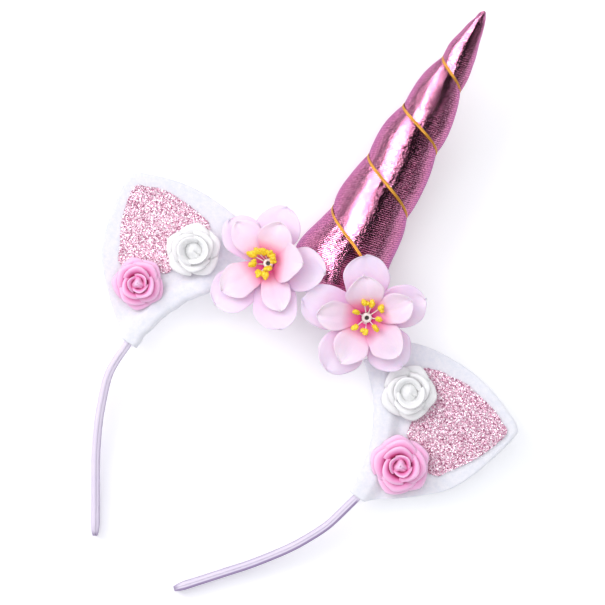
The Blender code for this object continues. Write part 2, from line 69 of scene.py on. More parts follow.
# share of the drop, of the half width, of the lean
LEG_ROWS = ((0.0, 1.0, 0.0), (0.180, 0.974, 0.30), (0.380, 0.878, 0.39),
            (0.600, 0.716, 0.58), (0.810, 0.523, 0.78), (1.0, 0.345, 1.0))
# angle from the crown, share of the reach
EAR_ROWS = ((31.4, 0.290), (35.0, 0.410), (40.0, 0.550), (45.0, 0.690), (50.0, 0.820),
            (54.0, 0.915), (57.0, 0.985), (58.5, 1.000), (60.0, 0.970), (62.0, 0.920),
            (65.0, 0.840), (70.0, 0.720), (75.0, 0.585), (80.0, 0.385), (85.0, 0.200),
            (88.0, 0.100), (90.0, 0.062))
GLITTER_ROWS = ((44.5, 0.385, 0.440), (50.0, 0.295, 0.665), (54.0, 0.250, 0.810),
                (57.0, 0.222, 0.880), (58.5, 0.210, 0.915), (60.0, 0.200, 0.890),
                (62.0, 0.190, 0.830), (65.0, 0.235, 0.735), (70.0, 0.350, 0.550),
                (72.5, 0.430, 0.480))
EAR_REACH, SLEEVE_REACH = 61.1 * MM, 8.8 * MM
EAR_THICK, SLEEVE_WALL, SLEEVE_SLACK = 3.0 * MM, 1.5 * MM, 1.2 * MM
EAR_LIFT, EAR_WAVE = 1.6 * MM, 0.7 * MM
HORN_LENGTH, HORN_RADIUS, HORN_PUFF = 150.8 * MM, 22.7 * MM, 2.3 * MM
HORN_OFFSET, HORN_LEAN = 1.1 * MM, 4.5
HORN_ROWS = ((0.0, 0.045), (0.015, 0.085), (0.060, 0.140), (0.220, 0.354), (0.416, 0.593),
             (0.620, 0.721), (0.797, 0.848), (0.909, 1.0), (0.955, 0.975), (0.985, 0.880),
             (1.0, 0.780))
TURN_ROWS = ((-1.90, 0.000), (-0.75, 0.102), (-0.25, 0.181), (0.25, 0.259), (0.75, 0.373),
             (1.25, 0.458), (1.75, 0.559), (2.25, 0.679), (2.75, 0.752), (3.00, 0.829),
             (3.25, 0.930), (3.40, 1.000))
CORD_TURNS = (-0.65, 3.34)
GROOVE_START = 0.40                        # share of a turn in which the groove deepens
TIP_PUFF = 0.3 * MM                        # how much fuller the knit is just below the tip
TIP_PUFF_SHARE = 0.058                     # where it is fullest, as a share from the tip
TIP_PUFF_SPREAD = 0.022                    # share over which that fades
TIP_PINCH, HORN_LUMP = 0.38 * MM, 0.40 * MM
FLOOR_GAP = 0.02 * MM
LEG_STEPS, ARCH_STEPS = 40, 60
END_SHARES = (0.62, 0.90, 1.04, 1.02)      # how full the ribbon's last sections are
EAR_START, EAR_TIP, EAR_END = 31.4, 58.5, 90.0
PANEL_THICK, FLAKE_LIFT = 0.8 * MM, 0.48 * MM
FIBRES, FIBRE_RADIUS = 1.1e6, 0.022 * MM   # loose fibres to a square metre
BUD_UP, BUD_ROUND = 6, 30                  # rows and steps of a rose's bud
FOAM_UP, FOAM_ACROSS = 10, 14              # rows and steps of a foam petal
CLAW_HALF = 2.3 * MM                       # half width of a cloth petal at its claw
# angle from the crown, how much wider the left and right ear are cut, in mm
EDGE_ROWS = ((31.4, 0.0, 0.0), (38.0, 0.0, 0.6), (45.0, 0.0, 1.3), (55.0, -0.7, 1.6),
             (58.5, -1.0, 1.7), (61.0, -0.3, 1.6), (68.0, 0.5, 1.4), (80.0, 0.5, 0.8),
             (90.0, 0.0, 0.0))
# angle from the crown, how much further in and out the right panel is cut, in mm
PANEL_ROWS = ((41.0, 3.5, -4.4), (44.5, 4.0, 4.4), (47.2, 2.5, 5.2), (50.0, 1.0, 2.9),
              (54.0, 0.0, 1.7), (58.5, 0.0, 1.7), (63.0, 0.0, 1.5), (68.0, 0.0, 1.2),
              (72.5, 1.0, 0.6))
# angle from the crown, how much shorter the left panel's tip is cut, in mm
PANEL_TIP = ((44.5, 0.0), (52.0, 0.6), (58.5, 1.6), (63.0, 0.8), (72.5, 0.0))
# side, angle from the crown, share of reach, height share, tilt, bearing
FLOWERS = {"left": (-1, 26.5, 0.090, 0.771, 13.0, 165.0),
           "right": (1, 16.6, 0.112, 0.837, 10.0, -40.0)}
# each petal's bearing, and its reach, width and cup as shares of the sizes below
FLOWER_RADIUS, PETAL_WIDTH, PETAL_CUP = 29.0 * MM, 20.5 * MM, 2.6 * MM
OUTER_PETALS = {"left": ((24, 0.97, 0.98, 1.2), (104, 0.96, 1.00, 0.9), (163, 0.92, 0.88, 1.1),
                         (253, 1.02, 1.00, 0.6), (-42, 1.09, 1.02, 0.8)),
                "right": ((-92, 1.05, 1.02, 0.7), (-21, 0.98, 1.02, 1.0), (51, 0.97, 1.00, 1.2),
                          (125, 0.99, 1.02, 1.0), (199, 1.05, 1.02, 0.7))}
INNER_RADIUS, INNER_WIDTH, INNER_CUP = 22.8 * MM, 16.8 * MM, 5.6 * MM
INNER_PETALS = {"left": ((28, 0.76, 1.12, 1.5), (102, 0.82, 1.02, 1.4), (162, 1.05, 0.86, 0.8),
                         (246, 1.07, 0.96, 0.7), (-40, 1.02, 0.84, 0.6)),
                "right": ((-86, 1.02, 0.96, 0.7), (-17, 0.98, 1.00, 0.9), (56, 0.96, 0.88, 1.2),
                          (129, 0.90, 1.06, 1.2), (208, 1.02, 0.86, 0.8))}
# how far the inner petals and stamens are glued off the middle
HEART_OFF = {"left": (1.4 * MM, 0.9 * MM), "right": (0.0, 0.0)}
# bearing, reach and rise in mm
STAMENS = {"left": ((166, 7.4, 4.6), (140, 5.2, 6.2), (97, 4.4, 6.6), (224, 7.6, 4.2),
                    (52, 3.6, 6.4), (-36, 4.0, 5.8), (271, 7.6, 3.4), (300, 7.2, 3.6),
                    (188, 9.2, 3.8)),
           "right": ((135, 8.5, 3.6), (181, 6.9, 4.4), (108, 8.2, 3.8), (75, 8.8, 3.6),
                     (34, 5.9, 4.6), (-14, 6.5, 4.2), (-64, 6.8, 3.6), (248, 7.7, 3.4))}
ROSES = {"rose_white_left": (20, False), "rose_pink_left": (75, True),
         "rose_white_right": (140, False), "rose_pink_right": (200, True)}


def smooth(rows, column, x):
    """Smooth curve through one column of a table, by its first column."""
    xs = [r[0] for r in rows]
    ys = [r[column] for r in rows]
    if x <= xs[0]:
        return ys[0]
    if x >= xs[-1]:
        return ys[-1]
    i = bisect_right(xs, x) - 1

    def slope(k):
        if k in (0, len(xs) - 1):
            j = min(k, len(xs) - 2)
            return (ys[j + 1] - ys[j]) / (xs[j + 1] - xs[j])
        a = (ys[k] - ys[k - 1]) / (xs[k] - xs[k - 1])
        b = (ys[k + 1] - ys[k]) / (xs[k + 1] - xs[k])
        return 0.0 if a * b <= 0 else 2 * a * b / (a + b)

    step = xs[i + 1] - xs[i]
    t = (x - xs[i]) / step
    return ((1 + 2 * t) * (1 - t) ** 2 * ys[i] + t * (1 - t) ** 2 * step * slope(i)
            + t * t * (3 - 2 * t) * ys[i + 1] + t * t * (t - 1) * step * slope(i + 1))


def arch_station(angle, side):
    t = radians(angle)
    normal = Vector((sin(t) / ARCH_A, cos(t) / ARCH_B)).normalized()
    return Vector((side * ARCH_A * sin(t), ARCH_B * cos(t))), Vector((side * normal.x, normal.y))


def leg_point(share, side):
    half = ARCH_A * smooth(LEG_ROWS, 1, share)
    return Vector((side * half - LEG_LEAN * smooth(LEG_ROWS, 2, share), -LEG_DROP * share))


def leg_station(share, side):
    ahead, behind = min(share + 0.01, 1.0), max(share - 0.01, 0.0)
    along = (leg_point(ahead, side) - leg_point(behind, side)).normalized()
    return leg_point(share, side), Vector((-side * along.y, side * along.x))


def at_station(station, out, z):
    """Point that far out from a station of the band, at height z."""
    point, normal = station
    return point.x + normal.x * out, point.y + normal.y * out, z


def band_plane():
    """Place of the band's plane, read from the mount inside the crown."""
    mount = next(m for m in frame["record"]["mounts"] if m["name"] == "crown_inside")
    axis, pos = mount["axis"], Vector(mount["pos_m"])
    turn = Matrix.Rotation(atan2(-axis[2], -axis[1]), 4, "X")
    point, normal = arch_station(CROWN_ANGLE, 1)
    inside = Vector((0, point.y - BAND_THICK / 2 * normal.y, 0))
    return Matrix.Translation(pos - turn.to_3x3() @ inside) @ turn


PLANE = band_plane()


# Mesh helpers
def placed(points, matrix=PLANE):
    m = np.array(matrix)
    return np.asarray(points, float) @ m[:3, :3].T + m[:3, 3]


def make_object(name, points, faces, uvs=None, marks=None):
    """Object at the origin from points and faces; uvs per point, marks named values per point."""
    mesh = bpy.data.meshes.new(name)
    mesh.from_pydata([tuple(p) for p in points], [], faces)
    if uvs is not None:
        layer = mesh.uv_layers.new(name="cloth")
        index = np.empty(len(mesh.loops), int)
        mesh.loops.foreach_get("vertex_index", index)
        layer.data.foreach_set("uv", np.asarray(uvs, float)[index].ravel())
    for key, values in (marks or {}).items():
        mark = mesh.attributes.new(key, "FLOAT", "POINT")
        mark.data.foreach_set("value", np.asarray(values, float))
    mesh.shade_smooth()
    obj = bpy.data.objects.new(name, mesh)
    bpy.context.scene.collection.objects.link(obj)
    return obj


def grid_faces(rows, columns, wrap=False, start=0):
    faces = []
    for i in range(rows - 1):
        for j in range(columns if wrap else columns - 1):
            k = (j + 1) % columns
            faces.append((start + i * columns + j, start + i * columns + k,
                          start + (i + 1) * columns + k, start + (i + 1) * columns + j))
    return faces


def add_part(points, faces, part):
    """Add the points and faces of one more part to both lists."""
    start = len(points)
    points += part[0]
    faces += [tuple(start + c for c in f) for f in part[1]]


def outward(obj, merge=None):
    """Turn every face outwards, after merging points closer than a given distance."""
    bm = bmesh.new()
    bm.from_mesh(obj.data)
    if merge:
        bmesh.ops.remove_doubles(bm, verts=bm.verts, dist=merge)
    bmesh.ops.recalc_face_normals(bm, faces=bm.faces)
    bm.to_mesh(obj.data)
    bm.free()


def thicken(obj, thickness, levels=0):
    solid = obj.modifiers.new("thickness", "SOLIDIFY")
    solid.thickness, solid.offset = thickness, 0.0
    if levels:
        soft = obj.modifiers.new("soft_edges", "SUBSURF")
        soft.levels = soft.render_levels = levels


def settle_in(obj, slot, *nodes):
    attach(obj, "root")
    if nodes:
        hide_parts(*nodes)


# Material helpers
class Shade:
    """Small builder for one procedural material."""

    def __init__(self, name, colour, roughness, **sockets):
        self.mat = bpy.data.materials.new(name)
        self.mat.use_nodes = True
        self.tree = self.mat.node_tree
        self.shader = self.tree.nodes["Principled BSDF"]
        self.shader.inputs["Base Color"].default_value = (*colour, 1)
        self.shader.inputs["Roughness"].default_value = roughness
        for key, value in sockets.items():
            self.shader.inputs[key.replace("_", " ")].default_value = value
        self.height = None

    def node(self, kind, **settings):
        made = self.tree.nodes.new(kind)
        for key, value in settings.items():
            setattr(made, key, value)
        return made

    def link(self, a, b):
        self.tree.links.new(a, b)

    def noise(self, scale, detail=3.0, rough=0.55, uv=False, stretch=None):
        source = self.node("ShaderNodeTexCoord").outputs["UV" if uv else "Object"]
        if stretch:
            mapping = self.node("ShaderNodeMapping")
            mapping.inputs["Scale"].default_value = stretch
            self.link(source, mapping.inputs["Vector"])
            source = mapping.outputs["Vector"]
        made = self.node("ShaderNodeTexNoise")
        made.inputs["Scale"].default_value = scale
        made.inputs["Detail"].default_value = detail
        made.inputs["Roughness"].default_value = rough
        self.link(source, made.inputs["Vector"])
        return made.outputs["Fac"]

    def wave(self, scale, distortion=0.0, direction="X", turn=0.0):
        source = self.node("ShaderNodeTexCoord").outputs["UV"]
        mapping = self.node("ShaderNodeMapping")
        mapping.inputs["Rotation"].default_value[2] = radians(turn)
        self.link(source, mapping.inputs["Vector"])
        made = self.node("ShaderNodeTexWave", bands_direction=direction)
        made.inputs["Scale"].default_value = scale
        made.inputs["Distortion"].default_value = distortion
        made.inputs["Detail"].default_value = 1.0
        self.link(mapping.outputs["Vector"], made.inputs["Vector"])
        return made.outputs["Fac"]

    def ramp(self, value, *stops):
        made = self.node("ShaderNodeValToRGB")
        elements = made.color_ramp.elements
        while len(elements) < len(stops):
            elements.new(0.5)
        for element, (place, colour) in zip(elements, stops):
            element.position, element.color = place, (*colour, 1)
        self.link(value, made.inputs["Fac"])
        return made.outputs["Color"]

    def mark(self, name):
        return self.node("ShaderNodeAttribute", attribute_name=name).outputs["Fac"]

    def blend(self, a, b, amount, kind="MULTIPLY"):
        made = self.node("ShaderNodeMix", data_type="RGBA", blend_type=kind)
        made.inputs["Factor"].default_value = amount
        self.link(a, made.inputs["A"])
        self.link(b, made.inputs["B"])
        return made.outputs["Result"]

    def colour(self, value):
        self.link(value, self.shader.inputs["Base Color"])

    def rough(self, value, low, high):
        made = self.node("ShaderNodeMapRange")
        made.inputs["To Min"].default_value = low
        made.inputs["To Max"].default_value = high
        self.link(value, made.inputs["Value"])
        self.link(made.outputs["Result"], self.shader.inputs["Roughness"])

    def bump(self, value, strength, distance):
        made = self.node("ShaderNodeBump")
        made.inputs["Strength"].default_value = strength
        made.inputs["Distance"].default_value = distance
        self.link(value, made.inputs["Height"])
        if self.height:
            self.link(self.height, made.inputs["Normal"])
        self.height = made.outputs["Normal"]
        self.link(self.height, self.shader.inputs["Normal"])


# Geometry nodes
def scatter_tree(name, shape, tilt, mat):
    """Tree that strews a small shape over a surface: density, size and seed are its inputs."""
    tree = bpy.data.node_groups.new(name, "GeometryNodeTree")
    face = tree.interface
    face.new_socket("Surface", in_out="INPUT", socket_type="NodeSocketGeometry")
    for label, default in (("Density", 1.0), ("Size", 1.0), ("Length", 1.0)):
        face.new_socket(label, in_out="INPUT", socket_type="NodeSocketFloat").default_value = default
    face.new_socket("Seed", in_out="INPUT", socket_type="NodeSocketInt").default_value = 1
    face.new_socket("Strewn", in_out="OUTPUT", socket_type="NodeSocketGeometry")
    new, link = tree.nodes.new, tree.links.new
    given, out = new("NodeGroupInput"), new("NodeGroupOutput")
    strew = new("GeometryNodeDistributePointsOnFaces")
    link(given.outputs["Surface"], strew.inputs["Mesh"])
    link(given.outputs["Density"], strew.inputs["Density"])
    link(given.outputs["Seed"], strew.inputs["Seed"])
    if shape == "flake":
        piece = new("GeometryNodeMeshCircle")
        piece.fill_type = "NGON"
        piece.inputs["Vertices"].default_value = 6
        link(given.outputs["Size"], piece.inputs["Radius"])
    else:
        piece = new("GeometryNodeMeshCone")
        piece.fill_type = "NONE"
        piece.inputs["Vertices"].default_value = 3
        piece.inputs["Radius Top"].default_value = 0.0
        link(given.outputs["Size"], piece.inputs["Radius Bottom"])
        link(given.outputs["Length"], piece.inputs["Depth"])
    lean = new("FunctionNodeRandomValue")
    lean.data_type = "FLOAT_VECTOR"
    lean.inputs[0].default_value = (-tilt, -tilt, 0.0)
    lean.inputs[1].default_value = (tilt, tilt, 2 * pi)
    turn = new("FunctionNodeEulerToRotation")
    link(lean.outputs[0], turn.inputs[0])
    rotate = new("FunctionNodeRotateRotation")
    rotate.rotation_space = "LOCAL"
    link(strew.outputs["Rotation"], rotate.inputs["Rotation"])
    link(turn.outputs[0], rotate.inputs["Rotate By"])
    size = new("FunctionNodeRandomValue")
    size.data_type = "FLOAT"
    size.inputs[2].default_value, size.inputs[3].default_value = 0.6, 1.3
    place = new("GeometryNodeInstanceOnPoints")
    link(strew.outputs["Points"], place.inputs["Points"])
    link(piece.outputs["Mesh"], place.inputs["Instance"])
    link(rotate.outputs["Rotation"], place.inputs["Rotation"])
    link(size.outputs[1], place.inputs["Scale"])
    tone = new("FunctionNodeRandomValue")
    tone.data_type = "FLOAT"
    tone.inputs["Seed"].default_value = 7
    keep = new("GeometryNodeStoreNamedAttribute")
    keep.data_type, keep.domain = "FLOAT", "INSTANCE"
    keep.inputs["Name"].default_value = "tone"
    link(place.outputs["Instances"], keep.inputs["Geometry"])
    link(tone.outputs[1], keep.inputs["Value"])
    real = new("GeometryNodeRealizeInstances")
    link(keep.outputs["Geometry"], real.inputs["Geometry"])
    paint = new("GeometryNodeSetMaterial")
    paint.inputs["Material"].default_value = mat
    link(real.outputs["Geometry"], paint.inputs["Geometry"])
    link(paint.outputs["Geometry"], out.inputs["Strewn"])
    return tree


def strewn(name, surface, tree, mat, **values):
    """Plain mesh of what a scatter tree makes on a copy of the surface."""
    obj = bpy.data.objects.new(name, surface.data.copy())
    bpy.context.scene.collection.objects.link(obj)
    modifier = obj.modifiers.new("strew", "NODES")
    modifier.node_group = tree
    ids = {s.name: s.identifier for s in tree.interface.items_tree if s.in_out == "INPUT"}
    for key, value in values.items():
        modifier[ids[key]] = value
    graph = bpy.context.evaluated_depsgraph_get()
    mesh = bpy.data.meshes.new_from_object(obj.evaluated_get(graph))
    obj.modifiers.clear()
    obj.data = mesh
    mesh.name = name
    mesh.materials.clear()
    mesh.materials.append(mat)
    mesh.polygons.foreach_set("material_index", [0] * len(mesh.polygons))
    return obj


# Sizes and colours a user would change
class BandLook(bpy.types.PropertyGroup):
    colour: FloatVectorProperty(name="Satin", description="Colour of the ribbon", subtype="COLOR",
                                default=(0.84, 0.76, 0.88))
    overlap: FloatProperty(name="Overlap", description="Height of the ribbon's lapped edge",
                           default=0.22 * MM, unit="LENGTH")


class EarLook(bpy.types.PropertyGroup):
    felt: FloatVectorProperty(name="Felt", description="Colour of the felt", subtype="COLOR",
                              default=(0.91, 0.905, 0.94))
    fibre: FloatProperty(name="Fibre", description="Length of a loose fibre", default=0.55 * MM,
                         unit="LENGTH")
    flake: FloatProperty(name="Flake", description="Radius of a glitter flake", default=0.31 * MM,
                         unit="LENGTH")
    flakes: FloatProperty(name="Flakes", description="Flakes to a square metre", default=8.5e6)


class RoseLook(bpy.types.PropertyGroup):
    pink: FloatVectorProperty(name="Pink foam", description="Colour of the pink roses",
                              subtype="COLOR", default=(0.93, 0.33, 0.63))
    white: FloatVectorProperty(name="White foam", description="Colour of the white roses",
                               subtype="COLOR", default=(0.92, 0.92, 0.91))
    thickness: FloatProperty(name="Foam", description="Thickness of a foam petal",
                             default=0.9 * MM, unit="LENGTH")


class FlowerLook(bpy.types.PropertyGroup):
    thickness: FloatProperty(name="Cloth", description="Thickness of a petal", default=0.30 * MM,
                             unit="LENGTH")
    anther: FloatProperty(name="Anther", description="Length of an anther", default=3.6 * MM,
                          unit="LENGTH")


class HornLook(bpy.types.PropertyGroup):
    lame: FloatVectorProperty(name="Knit", description="Colour of the metallic knit",
                              subtype="COLOR", default=(0.78, 0.33, 0.50))
    dark: FloatVectorProperty(name="Knit's ground", description="Colour between the bright threads",
                              subtype="COLOR", default=(0.34, 0.07, 0.17))
    gather: FloatProperty(name="Gathers", description="Depth of the gathers along the cord",
                          default=0.28 * MM, unit="LENGTH")
    strand: FloatProperty(name="Strand", description="Thickness of one strand of the cord",
                          default=0.70 * MM, unit="LENGTH")


class StageLook(bpy.types.PropertyGroup):
    distance: FloatProperty(name="Camera", description="Distance to the band's plane",
                            default=1.2, unit="LENGTH")
    width: FloatProperty(name="View", description="Width of the view at the band's plane",
                         default=282.2 * MM, unit="LENGTH")


# Band
def ribbon_section(overlap):
    """Rounded section with the ribbon's lapped edge along the front."""
    half_n, half_z, round_n, round_z = BAND_THICK / 2, BAND_DEPTH / 2, 1.5 * MM, 0.9 * MM
    points = []
    for cx, cz, start in ((1, 1, 0), (1, -1, -90), (-1, -1, -180), (-1, 1, -270)):
        for step in (90, 68, 45, 22, 0):
            a = radians(start + step)
            points.append([cx * (half_n - round_n) + round_n * cos(a),
                           cz * (half_z - round_z) + round_z * sin(a)])
    lap = 0.55 * MM
    return points + [[-lap, half_z], [-lap * 0.55, half_z - overlap], [-lap * 0.1, half_z]]


def make_band(look):
    step = 90 / ARCH_STEPS
    stations = [leg_station(s / LEG_STEPS, -1) for s in range(LEG_STEPS, 0, -1)]
    stations += [arch_station(90 - a * step, -1) for a in range(ARCH_STEPS)]
    stations += [arch_station(a * step, 1) for a in range(ARCH_STEPS + 1)]
    stations += [leg_station(s / LEG_STEPS, 1) for s in range(1, LEG_STEPS + 1)]
    section = ribbon_section(look.overlap)
    points, uvs, painted_light_share, run = [], [], [], 0.0
    last = len(stations) - 1
    right_leg = last - LEG_STEPS
    for i, station in enumerate(stations):
        if i:
            run += (station[0] - stations[i - 1][0]).length
        end = min(i, last - i)
        full = END_SHARES[end] if end < len(END_SHARES) else 1.0
        for j, (n, z) in enumerate(section):
            wobble = 1 + 0.03 * noise.noise(Vector((run * 120, j * 0.35, 2.0)))
            n, z = n * full * wobble, z * full
            points.append(at_station(station, n, z))
            uvs.append((run, j / len(section) * 0.02))
            # painted shade: the mark is 1 on the front face and 0 on the ribbon's sides and back and on a
            # strip along the right leg's outer side, which are coloured dark
            dark = 1.0 if i > right_leg and n > 0.75 * MM else 0.0
            painted_light_share.append(min(max((z / (BAND_DEPTH / 2) - 0.55) / 0.45, 0.0), 1.0) * (1 - dark))
    faces = grid_faces(len(stations), len(section), wrap=True)
    width = len(section)
    faces += [tuple(range(width)), tuple(range(last * width, (last + 1) * width))]
    obj = make_object("band_ribbon", placed(points), faces, uvs, {"front": painted_light_share})
    outward(obj)
    satin = Shade("ribbon_satin", look.colour, 0.55, Sheen_Weight=0.20, Specular_IOR_Level=0.30)
    # painted shade: where the front mark is low the satin turns dark purple
    tone = satin.ramp(satin.mark("front"), (0.05, (0.38, 0.29, 0.48)), (0.75, look.colour))
    patch = satin.ramp(satin.noise(60, 4), (0.25, (0.88, 0.86, 0.94)), (0.75, (1, 1, 1)))
    satin.colour(satin.blend(tone, patch, 0.8))
    satin.bump(satin.wave(900, 0.4), 0.12, 0.0001)
    satin.bump(satin.noise(220, 2), 0.18, 0.0002)
    obj.data.materials.append(satin.mat)
    settle_in(obj, "ribbon_band", "band")


# Felt ears and glitter
def ear_width(angle):
    return max(EAR_REACH * smooth(EAR_ROWS, 1, angle), BAND_THICK / 2 + CLEAR + SLEEVE_WALL)


def ear_warp(angle, out):
    share = max(out - SLEEVE_REACH, 0.0) / (EAR_REACH - SLEEVE_REACH)
    return EAR_LIFT * share ** 2 + EAR_WAVE * share * sin(radians(angle * 9.0))


def felt_half(out):
    start = BAND_THICK / 2 + CLEAR
    full = BAND_DEPTH / 2 + CLEAR + SLEEVE_WALL
    t = min(max((out - start) / (SLEEVE_REACH - start), 0.0), 1.0)
    t = t * t * (3 - 2 * t)
    return full + (EAR_THICK / 2 - full) * t


def lerp_list(a, b, count):
    return [a + (b - a) * i / count for i in range(count + 1)]


def felt_section(angle, side):
    """Half loop round the felt: sleeve, crease, plate and the two-layer cut edge."""
    start = BAND_THICK / 2 + CLEAR
    width = ear_width(angle) + smooth(EDGE_ROWS, 1 + (side > 0), angle) * MM
    full = BAND_DEPTH / 2 + CLEAR + SLEEVE_WALL
    crease = min(SLEEVE_REACH, start + 0.75 * (width - start))
    pucker = 0.8 * MM * noise.noise(Vector((angle * 0.22, side * 3.0, 0.0)))
    inner = -(start + SLEEVE_WALL + SLEEVE_SLACK) - pucker
    fold = 3.4 * MM
    half = [(inner + fold * (1 - cos(radians(k * 15))), full * sin(radians(k * 15)) ** 0.55)
            for k in range(1, 7)]
    half += [(n, felt_half(n)) for n in lerp_list(start, crease, 8)]
    half += [(n, felt_half(n)) for n in lerp_list(crease, width, 26)[1:-1]]
    edge = felt_half(width)
    half += [(width - 0.15 * MM, edge * 0.93), (width, edge * 0.70), (width, edge * 0.30),
             (width - 0.35 * MM, edge * 0.05)]
    return half


def make_ear(name, side, look, felt):
    angles = lerp_list(EAR_START, EAR_TIP, 44) + lerp_list(EAR_TIP, EAR_END, 54)[1:]
    points, uvs = [], []
    for angle in angles:
        station = arch_station(angle, side)
        half = felt_section(angle, side)
        front = [(n, ear_warp(angle, n) + z) for n, z in half]
        back = [(n, ear_warp(angle, n) - z) for n, z in reversed(half)]
        for n, z in front + back:
            near = max(0.0, 1 - abs(n - SLEEVE_REACH) / (7 * MM))
            drag = 0.30 * MM * near * noise.noise(Vector((angle * 0.55, side * 5.0, n * 60)))
            lift = drag if z > 0 else -drag
            points.append(at_station(station, n, z + lift))
            uvs.append((angle * 0.001, n))
    count = len(points) // len(angles)
    faces = grid_faces(len(angles), count, wrap=True)
    # the sleeve is open at both ends: a ring of felt round the band
    channel = []
    hn, hz = BAND_THICK / 2 + CLEAR * 0.8, BAND_DEPTH / 2 + CLEAR * 0.8
    for angle in (angles[0], angles[-1]):
        station = arch_station(angle, side)
        half = felt_section(angle, side)
        ring = half + [(n, -z) for n, z in reversed(half)]
        channel.append([at_station(station, min(max(n, -hn), hn), min(max(z, -hz), hz))
                        for n, z in ring])
    first = len(points)
    for loop in channel:
        points += loop
        uvs += [(0.0, 0.0)] * count
    for k in range(count):
        j = (k + 1) % count
        faces.append((k, first + k, first + j, j))
        base = (len(angles) - 1) * count
        faces.append((base + k, base + j, first + count + j, first + count + k))
    obj = make_object("felt_" + name, placed(points), faces, uvs)
    outward(obj)
    obj.data.materials.append(felt.mat)
    return obj


def make_glitter(name, side, look, base_mat):
    first, last = GLITTER_ROWS[0][0], GLITTER_ROWS[-1][0]
    first = min(first, PANEL_ROWS[0][0]) if side > 0 else first
    angles = lerp_list(first, EAR_TIP, 40) + lerp_list(EAR_TIP, last, 40)[1:]
    points, uvs = [], []
    for angle in angles:
        station = arch_station(angle, side)
        inner = EAR_REACH * smooth(GLITTER_ROWS, 1, angle)
        outer = EAR_REACH * smooth(GLITTER_ROWS, 2, angle)
        if side > 0:
            inner -= smooth(PANEL_ROWS, 1, angle) * MM
            outer += smooth(PANEL_ROWS, 2, angle) * MM
        else:
            outer -= smooth(PANEL_TIP, 1, angle) * MM
        for out in lerp_list(inner, outer, 30):
            z = ear_warp(angle, out) + felt_half(out) + CLEAR + 0.45 * MM
            points.append(at_station(station, out, z))
            uvs.append((angle * 0.001, out))
    obj = make_object("glitter_sheet_" + name, placed(points), grid_faces(len(angles), 31), uvs)
    # the sheet faces the front
    up = PLANE.to_3x3() @ Vector((0, 0, 1))
    if sum(p.normal.dot(up) for p in obj.data.polygons) < 0:
        obj.data.flip_normals()
    obj.data.materials.append(base_mat)
    return obj


def make_ears(look):
    felt = Shade("white_felt", look.felt, 0.95, Sheen_Weight=0.45, Sheen_Roughness=0.6,
                 Specular_IOR_Level=0.15)
    felt.colour(felt.ramp(felt.noise(420, 6, 0.75), (0.30, (0.80, 0.82, 0.89)), (0.62, look.felt)))
    felt.bump(felt.noise(1700, 5, 0.7), 0.35, 0.0002)
    felt.bump(felt.noise(300, 4, 0.6), 0.50, 0.0004)
    hair = Shade("felt_fibre", (0.90, 0.92, 0.97), 0.9, Sheen_Weight=0.3)
    hair.colour(hair.ramp(hair.mark("tone"), (0.0, (0.84, 0.86, 0.94)), (1.0, (0.95, 0.96, 0.99))))
    backing = Shade("glitter_backing", (0.62, 0.28, 0.42), 0.6)
    backing.colour(backing.ramp(backing.noise(2600, 2), (0.4, (0.38, 0.13, 0.25)),
                                (0.6, (0.80, 0.50, 0.62))))
    flake = Shade("glitter_flake", (0.86, 0.52, 0.66), 0.30, Metallic=0.10)
    # painted reflections: the flakes' own pink runs in clusters from near black, a painted dark
    # reflection, to near white, a painted sparkle
    painted_glint_clusters = flake.ramp(flake.noise(1080, 2, 0.8), (0.37, (0.34, 0.08, 0.17)), (0.44, (0.74, 0.32, 0.48)),
                       (0.52, (0.97, 0.66, 0.79)), (0.60, (1.0, 0.95, 0.98)))
    # painted reflections: each flake's random tone also dulls some flakes and whitens others, as dark
    # reflections and sparkles
    tone = flake.ramp(flake.mark("tone"), (0.0, (0.55, 0.40, 0.47)), (0.30, (0.95, 0.88, 0.91)),
                      (0.6, (1.0, 1.0, 1.0)))
    flake.colour(flake.blend(painted_glint_clusters, tone, 1.0))
    fuzz_tree = scatter_tree("felt_fibres", "fibre", 1.35, hair.mat)
    flake_tree = scatter_tree("glitter_flakes", "flake", 0.38, flake.mat)
    for name, side in (("left", -1), ("right", 1)):
        ear = make_ear(name, side, look, felt)
        fuzz = strewn("felt_fuzz_" + name, ear, fuzz_tree, hair.mat, Density=FIBRES,
                      Size=FIBRE_RADIUS, Length=look.fibre, Seed=3 + side)
        panel = make_glitter(name, side, look, backing.mat)
        flakes = strewn("glitter_flakes_" + name, panel, flake_tree, flake.mat,
                        Density=look.flakes, Size=look.flake, Length=0.0, Seed=11 + side)
        # the panel is thickened to both sides, so the flakes go up on to its top
        flakes.data.transform(Matrix.Translation(PLANE.to_3x3() @ Vector((0, 0, FLAKE_LIFT))))
        settle_in(ear, "felt", "ear_" + name)
        settle_in(fuzz, "felt")
        thicken(panel, PANEL_THICK)
        settle_in(panel, "glitter_cloth", "glitter_" + name)
        settle_in(flakes, "glitter_cloth")


# Roses
def rose_seat(node):
    """Centre of the rose's foot and its radius and height, from its solid."""
    obj = frame["nodes"][node]
    inverse = PLANE.inverted()
    local = np.array([inverse @ obj.matrix_world @ v.co for v in obj.data.vertices])
    low, high = local.min(0), local.max(0)
    return Vector(((low[0] + high[0]) / 2, (low[1] + high[1]) / 2, low[2])), (
        (high[0] - low[0] + high[1] - low[1]) / 4), high[2] - low[2]


# share of radius at the foot and rim, share of height, half angle, petals, curl of the rim
ROSE_LAYERS = {
    False: ((0.30, 0.54, 0.98, 104.0, 2, 0.04), (0.43, 0.70, 0.74, 66.0, 3, 0.08),
            (0.42, 0.91, 0.48, 50.0, 5, 0.10)),
    True: ((0.19, 0.37, 1.00, 72.0, 3, 0.02), (0.30, 0.60, 0.86, 70.0, 3, 0.06),
           (0.35, 0.80, 0.62, 60.0, 4, 0.09), (0.37, 0.92, 0.40, 48.0, 5, 0.11)),
}


